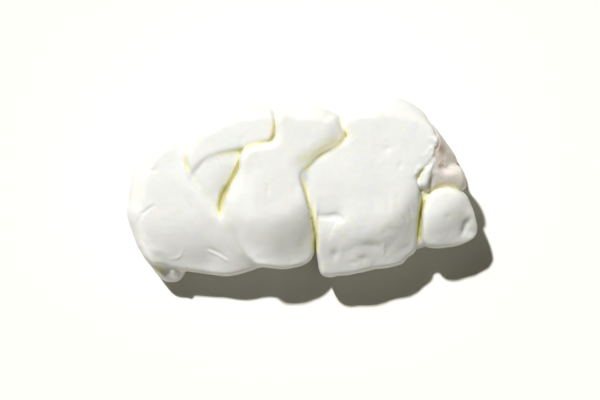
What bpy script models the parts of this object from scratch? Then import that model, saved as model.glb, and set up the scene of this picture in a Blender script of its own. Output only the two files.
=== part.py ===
"""Braided fresh buffalo-milk cheese: soft strands plaited into one short, fat loaf.

The strands cross over each other from the right end to the left, press together
and have fused, so the loaf is one solid. Each visible crossing is a lobe with its
own outline in plan, its own crown, and a rim that rolls under to the ground. Some
lobes sag towards the front. The lobes are joined as one field of distances, negative
inside, and the solid's surface is where that field is 0. The loaf rests on a flat
cut at z = 0.

X runs along the loaf, Y across it, Z up. Sizes below are in millimetres.
"""

import bmesh
import bpy
import numpy as np

MM = 0.001
CENTRE_X = -0.12  # brings the middle of the loaf's outline over the origin
CENTRE_Y = 0.36
CELL = 0.9  # grid on which the surface is found
LOW = np.array((-74.3, -41.3, -4.1))  # corners of that grid
HIGH = np.array((75.0, 42.0, 44.0))
STEP = 1.5  # spacing of the samples along a strand
PRESS = 1.2  # how far the ground presses each strand flat
TAPER_ON = 0.6  # how much of a strand's taper goes on into its rounded end
VOXEL = 1.1  # grid on which the solid's faces are laid evenly
SOFTEN = 3  # passes that round the creases
KEEP = 0.155  # share of the even faces that the solid keeps

# Lobes that show from above. Points of the outline in plan, which is smooth and closed: x, y, how round the rim is,
# how far the lobe goes on beneath its neighbour, and how ragged the edge is (0 if not given).
# top: its height in the middle, slopes along X and Y, and curvatures along X and Y. girth: the level where it is widest.
# foot: how far the lobe draws in from its widest level down to the ground. round: squareness of the rim.
# grain: the way the strand runs.
PADS = {
    "left_end": dict(top=(29.6, 0.03, 0.02, 0.002, 0.0075), girth=15, foot=13, round=2.0, grain=(0.35, -0.94), outline=[
        (-70.1, -9.5, 7, 0), (-69.5, -3.5, 8, 0), (-68.3, 4.5, 8, 0), (-65.9, 12.5, 8, 0), (-61.3, 20.5, 8, 0),
        (-57.5, 23.7, 8, 0), (-54.3, 24.9, 8, 0), (-48.3, 24.9, 7, 0), (-42.5, 24.6, 6, 1), (-43.5, 14.0, 5, 3),
        (-43.8, 7.1, 6, 3), (-37.9, -1.2, 7, 4), (-32.1, -8.6, 7, 6), (-28.5, -15.0, 7, 6.4), (-25.5, -21.0, 7, 6),
        (-22.9, -25.3, 5, 4.4), (-18.2, -30.4, 1.9, 0), (-22.3, -32.4, 1.9, 0), (-29.7, -34.0, 1.9, 0), (-38.3, -33.2, 1.9, 0),
        (-49.9, -31.7, 1.9, 0), (-54.5, -30.5, 1.9, 0), (-60.0, -29.4, 1.9, 0), (-64.9, -23.9, 4, 0), (-67.6, -17.5, 6, 0)]),
    "back_left": dict(top=(33.5, 0.22, -0.03, 0.0, 0.003), girth=14, foot=13, round=2.0, grain=(0.9, 0.42), outline=[
        (-40.3, 26.1, 7, 0), (-37.1, 29.1, 7, 0), (-34.3, 31.3, 7, 0), (-28.7, 33.3, 7, 0), (-24.3, 34.5, 7, 0),
        (-17.1, 34.5, 7, 0), (-14.3, 33.7, 6, 0), (-11.1, 32.3, 4, 0), (-10.7, 27.8, 3, 2.0), (-11.7, 20.0, 3, 2.1),
        (-14.8, 17.9, 3.5, 1.2), (-17.9, 17.2, 3.5, 1.2), (-21.1, 16.1, 3.5, 1.0), (-23.8, 14.8, 3.5, 0.8), (-29.7, 13.5, 4, 0.9),
        (-34.4, 12.2, 4.5, 1.3), (-37.5, 11.2, 5, 2), (-40.7, 9.4, 5, 3), (-43.0, 7.5, 4, 3), (-44.4, 9.8, 4, 2.5),
        (-44.6, 14.1, 4, 2.5), (-43.4, 18.0, 5, 3), (-41.9, 23.0, 6, 3)]),
    "middle_strand": dict(top=(37.6, 0.0, -0.02, 0.0, 0.0), girth=22, foot=13, round=2.0, grain=(0.35, 0.94), outline=[
        (-24.2, 12.2, 4, 1.8), (-25.0, 8.2, 4, 1.4), (-28.1, 2.4, 6, 1.2), (-30.8, -2.7, 6, 1.0), (-31.5, -8.4, 6, 1.0),
        (-30.4, -13.4, 5, 1.0), (-27.2, -18.4, 5, 1.0), (-25.0, -21.7, 4, 1), (-22.9, -25.3, 3, 0.6), (-17.8, -29.2, 1.9, 0),
        (-12.2, -30.8, 1.9, 0), (-8.3, -31.2, 1.9, 0), (-4.3, -31.0, 1.9, 0), (-0.3, -30.0, 1.9, 0), (2.9, -28.4, 1.9, 0),
        (4.9, -25.6, 1.9, 0), (5.9, -21.5, 2, 0), (6.2, -17.4, 2, 0), (5.4, -12.4, 2, 0), (4.1, -7.0, 2, 0),
        (2.2, -0.4, 2, 0), (-0.2, 6.2, 2.5, 1.2), (3.0, 10.4, 3, 2.8), (6.4, 14.2, 3, 3.0), (14.0, 18.4, 3, 3.0),
        (17.0, 21.0, 4, 2.6), (16.0, 26.0, 5, 1.6), (14.3, 29.7, 5, 0.5), (11.7, 31.7, 6, 0), (7.7, 33.3, 6, 0), (3.7, 33.7, 6, 0),
        (-0.3, 33.8, 6, 0), (-5.1, 33.6, 5, 0), (-7.9, 33.1, 4, 0), (-10.3, 32.1, 4, 0), (-10.5, 27.8, 4, 1.6),
        (-11.4, 20.5, 6, 2.6), (-14.8, 18.5, 7, 4.2), (-17.9, 18.0, 7, 4.2), (-21.1, 16.5, 6, 3.6), (-23.0, 15.0, 5, 2.4)]),
    "gap_strand": dict(top=(31.8, 0.14, 0.04, 0.010, 0.004), girth=14, foot=6, round=2.0, grain=(0.4, -0.9), outline=[
        (-46.0, 8.0, 6, 0), (-38.0, 19.0, 6, 0), (-28.0, 22.0, 6, 0), (-19.0, 21.0, 6, 0), (-19.0, 8.0, 6, 0),
        (-24.0, -1.0, 6, 0), (-28.0, -10.0, 6, 0), (-35.0, -11.0, 6, 0), (-43.0, -2.0, 6, 0)]),
    "front_right": dict(top=(35.6, 0.0, -0.01, 0.0012, 0.0025), girth=19, foot=13, round=2.0, grain=(0.55, -0.84), outline=[
        (-0.2, 6.2, 2, 1.8), (2.2, -0.4, 1.6, 2.0), (4.1, -7.0, 1.2, 1.6), (5.4, -12.4, 1.0, 1.2), (6.2, -17.3, 1.0, 1.0),
        (6.0, -23.2, 1.2, 0.5), (6.5, -28.3, 1.8, 0), (7.4, -33.2, 2.4, 0), (9.6, -34.6, 2.4, 0), (12.1, -34.8, 1.9, 0),
        (14.1, -34.1, 1.9, 0), (20.5, -33.1, 1.9, 0), (27.7, -31.5, 1.9, 0), (35.7, -30.1, 1.9, 0), (40.5, -28.9, 1.9, 0),
        (42.5, -26.9, 1.9, 0), (45.3, -24.7, 2, 0), (46.3, -22.3, 2, 0), (45.9, -18.6, 2, 0.6), (46.3, -13.4, 2, 0.8),
        (46.9, -7.5, 2.5, 0.8), (47.5, -3.5, 3, 0.8), (46.8, 0.4, 2, 0.6, 0.3), (45.7, 4.4, 1.6, 0.4, 0.5),
        (47.6, 7.9, 1.4, 0.3, 1.1), (50.8, 11.0, 1.4, 0.3, 1.4), (53.1, 15.0, 1.4, 0.2, 1.4), (53.9, 18.5, 1.2, 0, 1.2),
        (53.1, 22.4, 1.6, 0, 0.8), (51.8, 26.7, 3, 0, 0.4), (48.9, 31.3, 6, 0), (44.9, 34.5, 8, 0), (40.5, 36.7, 9, 0),
        (35.7, 37.7, 9, 0), (31.7, 37.3, 9, 0), (28.5, 36.5, 8, 0), (26.1, 34.9, 7, 0), (21.9, 33.0, 5, 0),
        (17.9, 30.8, 4, 0.6), (15.9, 27.6, 3, 1.2), (16.0, 24.4, 2.5, 1.5), (17.3, 22.0, 2, 1), (16.9, 20.4, 2, 0.8),
        (14.0, 18.1, 2, 1.2), (9.5, 16.2, 2, 1.2), (6.2, 14.1, 2, 1.2), (2.8, 10.2, 2, 1.2)]),
    "right_end": dict(top=(32.6, -0.05, 0.0, 0.002, 0.0), girth=25, foot=21, round=2.0, grain=(0.3, -0.95), outline=[
        (47.0, 8.0, 4, 0), (52.0, 9.4, 5, 0), (57.0, 10.3, 5, 0), (61.0, 10.4, 4, 0), (63.6, 8.9, 3.4, 0), (64.8, 5.6, 3.4, 0),
        (65.2, 2.4, 3.4, 0), (64.4, -0.5, 3, 0), (59.7, -0.4, 3, 0), (55.0, 0.0, 3, 0), (51.6, -1.5, 3, 0), (48.0, -1.5, 3, 0),
        (45.0, 3.0, 3, 0.5)]),
    "right_back": dict(top=(33.6, -0.10, 0.0, 0.0, 0.0), girth=7, foot=6, round=2.0, grain=(0.3, -0.95), outline=[
        (51.7, 27.7, 3, 0.5), (54.4, 24.9, 4, 0), (56.7, 21.8, 5, 0), (59.8, 17.9, 6, 0), (62.2, 14.6, 7, 0),
        (63.2, 11.6, 8, 0), (62.4, 8.3, 8, 0), (60.0, 4.0, 6, 0), (54.0, 3.0, 5, 0), (46.0, 4.0, 3, 0.5),
        (46.0, 8.4, 3, 0.5), (49.0, 12.5, 3, 0.6), (51.0, 16.5, 3, 0.8), (51.4, 20.8, 3, 0.8), (51.0, 25.0, 3, 0.8)]),
    "flake": dict(top=(35.0, -0.12, 0.15, 0, 0), girth=26, foot=2, round=1.8, grain=(0.3, -0.95), outline=[
        (51.9, 11.6, 1.2, 0.8, 0.3), (49.1, 7.4, 1.4, 0.9, 0.2), (46.9, 3.4, 1.6, 0.6, 0.2), (47.2, 0.4, 2.0, 0),
        (48.1, -2.0, 1.6, 0), (48.9, -1.2, 1.6, 0), (50.4, 1.6, 1.8, 0, 0.2), (51.6, 6.3, 1.6, 0, 0.3)]),
    "small_flake": dict(top=(36.1, -0.1, 0.1, 0, 0), girth=30, foot=2, round=1.8, grain=(0.3, -0.95), outline=[
        (52.8, 22.3, 1.2, 0.2, 0.3), (54.1, 20.7, 1.2, 0, 0.3), (54.3, 18.7, 1.2, 0, 0.3), (52.4, 17.6, 1.2, 0.2, 0.3),
        (51.8, 20.0, 1.2, 0.4)]),
    "strand_end": dict(top=(32.6, 0.03, 0.0, 0.006, 0.006), girth=22, foot=11, round=2.0, grain=(0.2, -0.98), outline=[
        (48.5, -4.6, 2.5, 0.4), (49.3, -2.2, 2.5, 0.4), (51.0, -0.2, 2.5, 0.4), (53.8, 1.1, 2.5, 0.5), (57.6, 1.5, 2.5, 0.5),
        (61.6, 0.9, 3, 0.5), (64.7, -0.8, 4, 0.2), (66.3, -2.9, 4, 0), (67.5, -5.9, 4, 0), (68.7, -8.9, 3, 0), (69.9, -14.5, 2, 0),
        (69.3, -18.0, 2, 0), (66.0, -20.5, 1.9, 0), (61.7, -22.1, 1.9, 0), (53.1, -22.9, 1.9, 0), (49.5, -22.3, 2.4, 0),
        (47.8, -19.4, 2, 0.2), (47.5, -13.4, 2, 0.4), (47.6, -8.3, 2, 0.4)]),
    "tail": dict(top=(19.6, -0.05, 1.0, 0.0, 0.0), girth=8, foot=3, round=2.0, grain=(0.8, -0.6), outline=[
        (-63.0, -26.0, 2, 0), (-61.4, -29.0, 2, 0), (-60.0, -31.5, 1.6, 0), (-57.7, -34.6, 1.6, 0), (-55.0, -36.7, 2, 0),
        (-52.3, -37.0, 1.5, 0), (-49.5, -36.4, 1.5, 0), (-47.1, -32.9, 2, 0), (-48.0, -26.0, 3, 0), (-56.0, -22.0, 3, 0),
        (-62.0, -23.5, 3, 0)]),
}

# Where a lobe sags: from a line in plan its skin falls away to the right.
# First how steep it is along the fall, as pairs of (share of the reach, share of the steepness).
# Then the line: x, y, reach, steepness.
SAGS = {
    "left_end": [
        ([(0, 0), (0.8, 1), (1, 0.7)], [
            (-66.0, -13.0, 8, 0.0), (-62.5, -11.0, 15, 0.18), (-55.5, -10.4, 20, 0.34), (-47.6, -10.4, 20, 0.47),
            (-37.7, -9.4, 21, 0.58), (-31.0, -10.2, 22, 0.56), (-25.0, -12.7, 21, 0.52)]),
        ([(0, 0), (0.3, 1), (1, 1)], [
            (-38.5, -8.5, 5, 0.0), (-43.0, -2.0, 7, 0.25), (-47.0, 5.0, 7, 0.30), (-49.5, 12.0, 6, 0.28),
            (-48.5, 18.0, 5, 0.15), (-47.0, 22.0, 4, 0.0)])],
    "middle_strand": [
        ([(0, 0.1), (0.1, 0.4), (0.25, 0.72), (0.5, 1), (0.65, 1), (0.85, 0.74), (1, 0.66)], [
            (-28.2, 0.5, 3, 0.0), (-28.0, -3.0, 4, 0.3), (-25.4, -8.2, 10, 0.45), (-20.7, -10.4, 17, 0.52),
            (-14.0, -9.6, 20, 0.60), (-8.1, -8.6, 21, 0.78), (-4.2, -7.4, 22, 0.89), (-0.7, -4.3, 22, 0.94),
            (1.5, -0.6, 8, 0.7), (1.9, 3.0, 4, 0.0)]),
        ([(0, 0), (0.3, 1), (1, 1)], [
            (-15.0, 12.0, 8, 0.0), (-16.0, 6.0, 10, 0.20), (-18.0, -2.0, 12, 0.28), (-17.5, -10.0, 12, 0.30),
            (-14.0, -18.0, 12, 0.26), (-10.0, -28.0, 10, 0.0)]),
        ([(0, 0), (0.2, 1), (0.36, 1), (0.52, 0.45), (1, 0.3)], [
            (-4.5, 11.8, 4, 0.0), (-1.5, 13.4, 5, 0.50), (3.4, 15.9, 6, 0.54), (7.6, 18.6, 7, 0.54),
            (9.6, 21.4, 8, 0.52), (11.0, 24.8, 7, 0.46), (11.6, 29.0, 5, 0.2)])],
    "gap_strand": [([(0, 0), (0.4, 1), (1, 1)], [
        (-43.5, -3.5, 8, 0.0), (-41.0, -0.9, 10, 0.45), (-37.3, 3.6, 12, 0.52), (-33.4, 9.1, 11, 0.42),
        (-28.7, 12.3, 8, 0.25), (-25.0, 14.0, 6, 0.0)])],
    "front_right": [([(0, 0.1), (0.15, 0.38), (0.3, 0.75), (0.45, 1), (0.6, 1), (0.75, 0.8), (1, 0.75)], [
        (7.0, -9.5, 16, 0.0), (9.0, -12.0, 22, 0.42), (14.0, -12.5, 23, 0.50), (20.5, -13.0, 20, 0.58),
        (27.5, -12.3, 19, 0.72), (33.0, -9.8, 20, 0.84), (37.3, -5.5, 19, 0.86), (40.8, -0.4, 9, 0.62),
        (42.6, 5.1, 5, 0.30), (43.6, 10.2, 4, 0.0)]),
        ([(0, 0), (0.3, 1), (1, 1)], [
            (5.0, -8.0, 6, 0.0), (9.0, -14.5, 8, 0.08), (13.5, -20.0, 10, 0.17), (19.0, -27.0, 11, 0.22), (24.0, -34.0, 11, 0.18)])],
    "right_end": [([(0, 0.3), (0.3, 1), (1, 1)], [
        (46.0, 5.0, 6, 0.0), (50.0, 5.6, 6, 0.50), (56.0, 6.6, 7, 0.72), (61.0, 5.9, 7, 0.72), (67.0, 4.4, 6, 0.6)])],
    "right_back": [([(0, 0), (0.3, 1), (1, 1)], [
        (55.0, 2.0, 10, 0.9), (54.2, 8.0, 11, 1.2), (54.2, 14.0, 10, 1.02), (54.0, 19.0, 8, 0.6), (52.0, 27.0, 5, 0.3)])],
    "strand_end": [([(0, 0.2), (0.3, 0.75), (0.5, 1), (0.75, 1), (1, 0.8)], [
        (43.0, -10.8, 13, 0.54), (49.0, -10.8, 14, 0.56), (53.0, -9.0, 15, 0.68),
        (56.7, -5.8, 16, 0.80), (59.9, -2.6, 12, 0.65), (63.9, 0.2, 5, 0.3), (66.5, 2.0, 3, 0.0)])],
}

# Strands within. Stations of a lobe: x, y, z of its centre line, half width to the left of travel,
# half width to the right, height above the centre line. Below it a lobe reaches the
# ground and is pressed flat there, unless depth says how far down it goes.
# plan: squareness of the ends seen from above. dome: squareness of the section.
LOBES = {
    "middle": dict(plan=2.0, dome=2.0, depth=9, ends=(10, 10), stations=[
        (-44.0, 1.0, 12, 10, 12, 12), (-25.0, 3.0, 12, 14, 14, 13), (0.0, 3.0, 13, 18, 16, 16),
        (18.0, 8.0, 14, 20, 18, 16), (48.0, 1.0, 12, 12, 13, 12)]),
    "slit_strand": dict(plan=2.4, dome=2.4, ends=(4, 4), stations=[
        (48.0, -1.5, 16, 5, 5, 13.2), (47.3, -5.0, 16, 5, 5, 12.0), (47.0, -12.0, 15, 5, 5, 10.9), (46.7, -18.0, 13, 4, 3.5, 9.8)]),
    "ridge_root": dict(plan=2.0, dome=2.0, ends=(3, 3), depth=10, stations=[(51.2, 2.0, 20, 3, 3, 10.2), (48.4, -3.0, 20, 2.6, 2.6, 8.4)]),
    "ridge_fill": dict(plan=2.0, dome=2.0, ends=(2, 2), depth=10, stations=[
        (46.6, 2.0, 20, 2.6, 2.6, 13.9), (49.0, 7.2, 20, 2.6, 2.6, 15.2), (52.0, 12.0, 20, 2.2, 2.2, 15.5)]),
    "vertex": dict(plan=2.0, dome=2.0, ends=(4, 4), depth=10, stations=[
        (12.0, 17.0, 20, 3, 3, 13.0), (5.0, 12.0, 20, 3, 3, 13.8), (0.3, 7.2, 20, 5, 5, 16.2), (3.0, -3.0, 20, 3, 3, 13.5)]),
}

# Strands that cross beneath, from the front edge and the back edge in turn.
UNDER_COUNT = 6
UNDER_FIRST = -40.0
UNDER_PITCH = 15.5
UNDER_SIZES = (10, 10, 12)
for number in range(UNDER_COUNT):
    edge = UNDER_FIRST + UNDER_PITCH * number
    from_side = -1 if number % 2 == 0 else 1
    LOBES["under_%d" % (number + 1)] = dict(plan=2.2, dome=2.2, ends=(7, 7), stations=[
        (edge, 17.5 * from_side, 10.5, *UNDER_SIZES), (edge + 6.5, 7.0 * from_side, 10.5, *UNDER_SIZES),
        (edge + 14.0, -4.0 * from_side, 10.5, *UNDER_SIZES)])

# Neighbours that run together, and over how many millimetres.
SOFT = [
    ("left_end", "back_left", 5), ("left_end", "gap_strand", 7), ("back_left", "gap_strand", 1.5), ("left_end", "tail", 2.0),
    ("left_end", "middle_strand", 3),
    ("back_left", "middle_strand", 1.4), ("front_right", "flake", 1.0), ("front_right", "small_flake", 0.8), ("right_end", "flake", 1.0), ("right_back", "flake", 1.0), ("right_end", "right_back", 2.5),
    ("front_right", "vertex", 0.8), ("middle_strand", "vertex", 0.8), ("middle", "gap_strand", 4), ("middle", "front_right", 3),
]

# Open creases and the crevice where strands part: the line in plan, half its width, how deep it is.
CUTS = [
    ([(-45.6, 13.4), (-45.4, 10.2), (-44.2, 7.0)], 1.2, 1.0),
    ([(-28.0, 4.0), (-30.9, -2.2), (-32.4, -8.0), (-33.2, -12.8)], 1.6, 2.0),
    ([(3.4, -4.0), (5.0, -10.5), (5.9, -14.5), (6.3, -18.8), (5.6, -24.5)], 1.2, 0.8),
    ([(53.9, 15.1), (51.4, 11.5), (48.4, 8.7), (45.8, 5.1)], 1.2, 1.2),
    ([(6.5, -9.9), (10.5, -10.2), (13.6, -9.7), (17.0, -12.4)], 1.4, 0.9),
    ([(67.3, -10.6), (65.4, -12.9), (63.2, -18.4)], 1.2, 1.2),
]


def closed(points):
    """Evenly set rows on the smooth closed line through the points."""
    rows = np.array([(*p, 0.0)[:5] for p in points], float)
    share = (np.arange(6) / 6)[None, :, None]
    a, b, c, d = (np.roll(rows, k, 0)[:, None] for k in (1, 0, -1, -2))
    line = b + share * (c - a) / 2 + share**2 * (a - 2.5 * b + 2 * c - d / 2) + share**3 * (1.5 * (b - c) + (d - a) / 2)
    return line.reshape(-1, 5)


def sagging(q, shape):
    """How far a sag has fallen at the share q of its reach, for a reach and a steepness of 1."""
    at = np.linspace(0, 1, 201)
    slope = np.interp(at, *np.array(shape, float).T)
    return np.interp(q, at, np.concatenate([[0.0], np.cumsum((slope[1:] + slope[:-1]) / 2) / 200]))


def blur_plan(values, r, times=2):
    for _ in range(times):
        for axis in range(2):
            pad = [(0, 0)] * 2
            pad[axis] = (r + 1, r)
            total = np.cumsum(np.pad(values, pad, mode="edge"), axis=axis)
            n = values.shape[axis]
            a, b = [slice(None)] * 2, [slice(None)] * 2
            a[axis], b[axis] = slice(2 * r + 1, 2 * r + 1 + n), slice(0, n)
            values = (total[tuple(a)] - total[tuple(b)]) / (2 * r + 1)
    return values


PLANS = {}


def plan_of(name):
    """In plan, on the grid: how far inside a pad's outline, how round its rim is, and how far it has sagged."""
    if name in PLANS:
        return PLANS[name]
    rows = closed(PADS[name]["outline"])
    count = np.ceil((HIGH - LOW) / CELL).astype(int) + 1
    gx, gy = np.meshgrid(*[LOW[i] + CELL * np.arange(count[i]) for i in range(2)], indexing="ij")
    near = (gx > rows[:, 0].min() - 9) & (gx < rows[:, 0].max() + 9) & (gy > rows[:, 1].min() - 9) & (gy < rows[:, 1].max() + 9)
    px, py = gx[near], gy[near]
    best = np.full(len(px), np.inf)
    rest = np.zeros((len(px), 3))
    inside = np.zeros(len(px), bool)
    for p, q in zip(rows, np.roll(rows, -1, 0)):
        d = q[:2] - p[:2]
        share = np.clip(((px - p[0]) * d[0] + (py - p[1]) * d[1]) / (d @ d), 0, 1)
        far = np.hypot(px - p[0] - share * d[0], py - p[1] - share * d[1])
        closer = far < best
        best[closer] = far[closer]
        rest[closer] = (p[2:] + share[:, None] * (q[2:] - p[2:]))[closer]
        if p[1] != q[1]:
            inside ^= ((p[1] > py) != (q[1] > py)) & (px < p[0] + (py - p[1]) / (q[1] - p[1]) * d[0])
    spot = np.stack([px, py, np.full(len(px), 7.7)], 1)
    deep = np.full(gx.shape, -9.0)
    wide = np.full(gx.shape, 5.0)
    deep[near] = np.where(inside, best, -best) + rest[:, 1] + rest[:, 2] * (0.8 * lumps(spot, 2.6, 3) + 0.5 * lumps(spot, 1.3, 4))
    wide[near] = rest[:, 0]
    fall = np.zeros(gx.shape)
    for shape, line in SAGS.get(name, ()):
        line = np.array(line)
        chord = np.concatenate([[0.0], np.cumsum(np.linalg.norm(np.diff(line[:, :2], axis=0), axis=1))])
        past, share = beside(line[:, :2], spot)
        reach, steep = (np.interp(share * chord[-1], chord, line[:, k]) for k in (2, 3))
        fall[near] += reach * steep * sagging(np.maximum(past / reach, 0), shape)
    narrow = min(p[2] for p in PADS[name]["outline"]) < 2.5
    deep = blur_plan(deep, max(1, round((0.5 if narrow else 0.8) / CELL)))
    wide = blur_plan(wide, max(1, round((0.6 if narrow else 1.5) / CELL)))
    fall = blur_plan(fall, max(1, round(1.3 / CELL)))
    PLANS[name] = deep, wide, fall
    return PLANS[name]


def read_plan(values, x):
    """The plan grid's values at points x."""
    p = (x[:, :2] - LOW[:2]) / CELL
    i = np.clip(np.floor(p).astype(int), 0, np.array(values.shape) - 2)
    f = np.clip(p - i, 0, 1)
    low = values[i[:, 0], i[:, 1]] * (1 - f[:, 0]) + values[i[:, 0] + 1, i[:, 1]] * f[:, 0]
    high = values[i[:, 0], i[:, 1] + 1] * (1 - f[:, 0]) + values[i[:, 0] + 1, i[:, 1] + 1] * f[:, 0]
    return low * (1 - f[:, 1]) + high * f[:, 1]


def from_pad(name, x):
    """Distance of points x from a pad's surface, negative inside."""
    pad = PADS[name]
    deep, wide, fall = (read_plan(v, x) for v in plan_of(name))
    level, along_x, along_y, curve_x, curve_y = pad["top"]
    dx, dy = (x[:, k] - np.mean([q[k] for q in pad["outline"]]) for k in (0, 1))
    girth = pad["girth"]
    top = level + along_x * dx + along_y * dy - curve_x * dx**2 / 2 - curve_y * dy**2 / 2 - fall
    up = x[:, 2] - girth
    above = up > 0
    tall = np.where(above, np.maximum(top - girth, 1.5), girth + PRESS)
    wide = np.where(above, wide, pad["foot"])
    u, v = np.maximum(0, 1 - deep / wide), np.abs(up) / tall
    p = pad["round"]
    rho = np.maximum((u**p + v**p) ** (1 / p), 1e-3)
    slope = np.hypot(u ** (p - 1) / wide, v ** (p - 1) / tall) / rho ** (p - 1)
    return np.clip((rho - 1) / np.maximum(slope, 0.02), -9, 9)


def smooth_path(stations):
    """Evenly spaced rows along the natural cubic spline through the stations, and how far along each is."""
    rows = np.array(stations, float)
    chord = np.linalg.norm(np.diff(rows[:, :3], axis=0), axis=1)
    at = np.concatenate([[0.0], np.cumsum(chord)])
    wanted = np.linspace(0.0, at[-1], max(3, int(at[-1] / STEP) + 1))
    last = len(at) - 1
    if last == 1:
        share = (wanted / at[-1])[:, None]
        return rows[0] * (1 - share) + rows[1] * share, wanted
    left = np.eye(last + 1)
    right = np.zeros_like(rows)
    for i in range(1, last):
        left[i, i - 1 : i + 2] = chord[i - 1], 2 * (chord[i - 1] + chord[i]), chord[i]
        right[i] = 6 * ((rows[i + 1] - rows[i]) / chord[i] - (rows[i] - rows[i - 1]) / chord[i - 1])
    bend = np.linalg.solve(left, right)
    i = np.clip(np.searchsorted(at, wanted, side="right") - 1, 0, last - 1)
    a = (at[i + 1] - wanted)[:, None]
    b = (wanted - at[i])[:, None]
    h = chord[i][:, None]
    return (
        (bend[i] * a**3 + bend[i + 1] * b**3) / (6 * h)
        + (rows[i] / h - bend[i] * h / 6) * a
        + (rows[i + 1] / h - bend[i + 1] * h / 6) * b
    ), wanted


def soft_least(a, b, k):
    """The smaller of two values, rounded where they are within k of each other."""
    h = np.clip(0.5 + 0.5 * (b - a) / k, 0, 1)
    return b * (1 - h) + a * h - k * h * (1 - h)


def from_lobe(name, x):
    """Distance of points x from a strand's surface, negative inside."""
    lobe = LOBES[name]
    rows, at = smooth_path(lobe["stations"])
    centre = rows[:, :3]
    depth = np.full(len(rows), float(lobe["depth"])) if "depth" in lobe else rows[:, 2] + PRESS
    sizes = np.column_stack([rows[:, 3:], depth])
    along = np.gradient(centre, axis=0)
    along /= np.linalg.norm(along, axis=1)[:, None]
    side = np.cross((0.0, 0.0, 1.0), along)
    side /= np.linalg.norm(side, axis=1)[:, None]
    up = np.cross(along, side)
    single = x.astype(np.float32)
    square = (single**2).sum(1)
    best = np.full(len(x), np.inf, np.float32)
    nearest = np.zeros(len(x), np.int32)
    for k in range(len(centre)):
        d = square - single @ (2 * centre[k]).astype(np.float32) + np.float32((centre[k] ** 2).sum())
        closer = d < best
        best[closer] = d[closer]
        nearest[closer] = k
    gap = at[1] - at[0]
    ahead = ((x - centre[nearest]) * along[nearest]).sum(1) / gap
    after = np.clip(nearest + np.where(ahead > 0, 1, -1), 0, len(centre) - 1)
    f = np.where(after == nearest, 0, np.clip(np.abs(ahead), 0, 1))[:, None]

    def mix(q):
        return q[nearest] * (1 - f) + q[after] * f

    off = x - mix(centre)
    ax, across, height = ((off * mix(q)).sum(1) for q in (along, side, up))
    size = mix(sizes)
    first = nearest == 0
    past = first & (ax < 0) | (nearest == len(centre) - 1) & (ax > 0)
    slope = np.where(first[:, None], (sizes[1] - sizes[0]) / gap, (sizes[-1] - sizes[-2]) / gap)
    grown = size + np.where(past, ax, 0)[:, None] * slope * TAPER_ON
    size = np.maximum(grown, size / 2)
    w = np.where(across > 0, size[:, 0], size[:, 1])
    h = np.where(height > 0, size[:, 2], size[:, 3])
    cap = np.where(first, *map(float, lobe["ends"]))
    q, p = lobe["plan"], lobe["dome"]
    plan = (np.abs(across / w) ** q + np.where(past, np.abs(ax / cap) ** q, 0)) ** (1 / q)
    rho = (plan**p + np.abs(height / h) ** p) ** (1 / p)
    dist = np.sqrt(across**2 + height**2 + np.where(past, ax**2, 0))
    return dist - np.where(rho > 1e-6, dist / np.maximum(rho, 1e-6), np.minimum(w, h))


def lumps(x, size, seed):
    """Smooth noise of points x, about -1 to 1, with lumps of that size."""
    p = np.asarray(x, float) / size
    cell = np.floor(p).astype(np.int64)
    f = p - cell
    ease = f * f * f * (f * (f * 6 - 15) + 10)
    total = np.zeros(len(p))
    for i in (0, 1):
        for j in (0, 1):
            for k in (0, 1):
                c = cell + (i, j, k)
                code = (c[:, 0] * 73856093) ^ (c[:, 1] * 19349663) ^ (c[:, 2] * 83492791) ^ (seed * 26544357)
                code &= 0xFFFFFFFF
                code = ((code ^ (code >> 15)) * 739982445) & 0xFFFFFFFF
                code = ((code ^ (code >> 12)) * 695872825) & 0xFFFFFFFF
                code ^= code >> 15
                push = np.stack([(code >> s & 1023) / 511.5 - 1 for s in (0, 10, 20)], 1)
                near = np.where((i, j, k), ease, 1 - ease).prod(1)
                total += near * (push * (f - (i, j, k))).sum(1)
    return total * 1.6


def beside(line, x):
    """Distance of points x in plan from a line of points, positive on its right, and the share of the line passed."""
    line = np.array(line, float)
    lengths = np.linalg.norm(np.diff(line, axis=0), axis=1)
    start = np.concatenate([[0.0], np.cumsum(lengths)])
    best = np.full(len(x), np.inf)
    signed = np.zeros(len(x))
    share = np.zeros(len(x))
    for k, (p, q) in enumerate(zip(line, line[1:])):
        d = (q - p) / lengths[k]
        off = x[:, :2] - p
        t = np.clip(off @ d, 0, lengths[k])
        gap = off - t[:, None] * d
        far = np.hypot(gap[:, 0], gap[:, 1])
        closer = far < best
        best[closer] = far[closer]
        right = off[:, 0] * d[1] - off[:, 1] * d[0] > 0
        signed[closer] = np.where(right, far, -far)[closer]
        share[closer] = ((start[k] + t) / start[-1])[closer]
    return signed, share


def box_of(name, count):
    if name in PADS:
        rows = closed(PADS[name]["outline"])
        a = np.floor((np.array((*(rows[:, :2].min(0) - 6), LOW[2])) - LOW) / CELL).astype(int)
        b = np.ceil((np.array((*(rows[:, :2].max(0) + 6), HIGH[2])) - LOW) / CELL).astype(int) + 1
        return np.maximum(a, 0), np.minimum(b, count)
    rows = np.array(LOBES[name]["stations"], float)
    reach = rows[:, 3:].max() + 4
    a = np.maximum(np.floor((rows[:, :3].min(0) - reach - LOW) / CELL).astype(int), 0)
    b = np.minimum(np.ceil((rows[:, :3].max(0) + reach - LOW) / CELL).astype(int) + 1, count)
    return a, b


def slices(a, b):
    return tuple(slice(a[i], b[i]) for i in range(3))


def points_of(axes, a, b):
    return np.stack(np.meshgrid(*[axes[i][a[i] : b[i]] for i in range(3)], indexing="ij"), -1).reshape(-1, 3)


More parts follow.
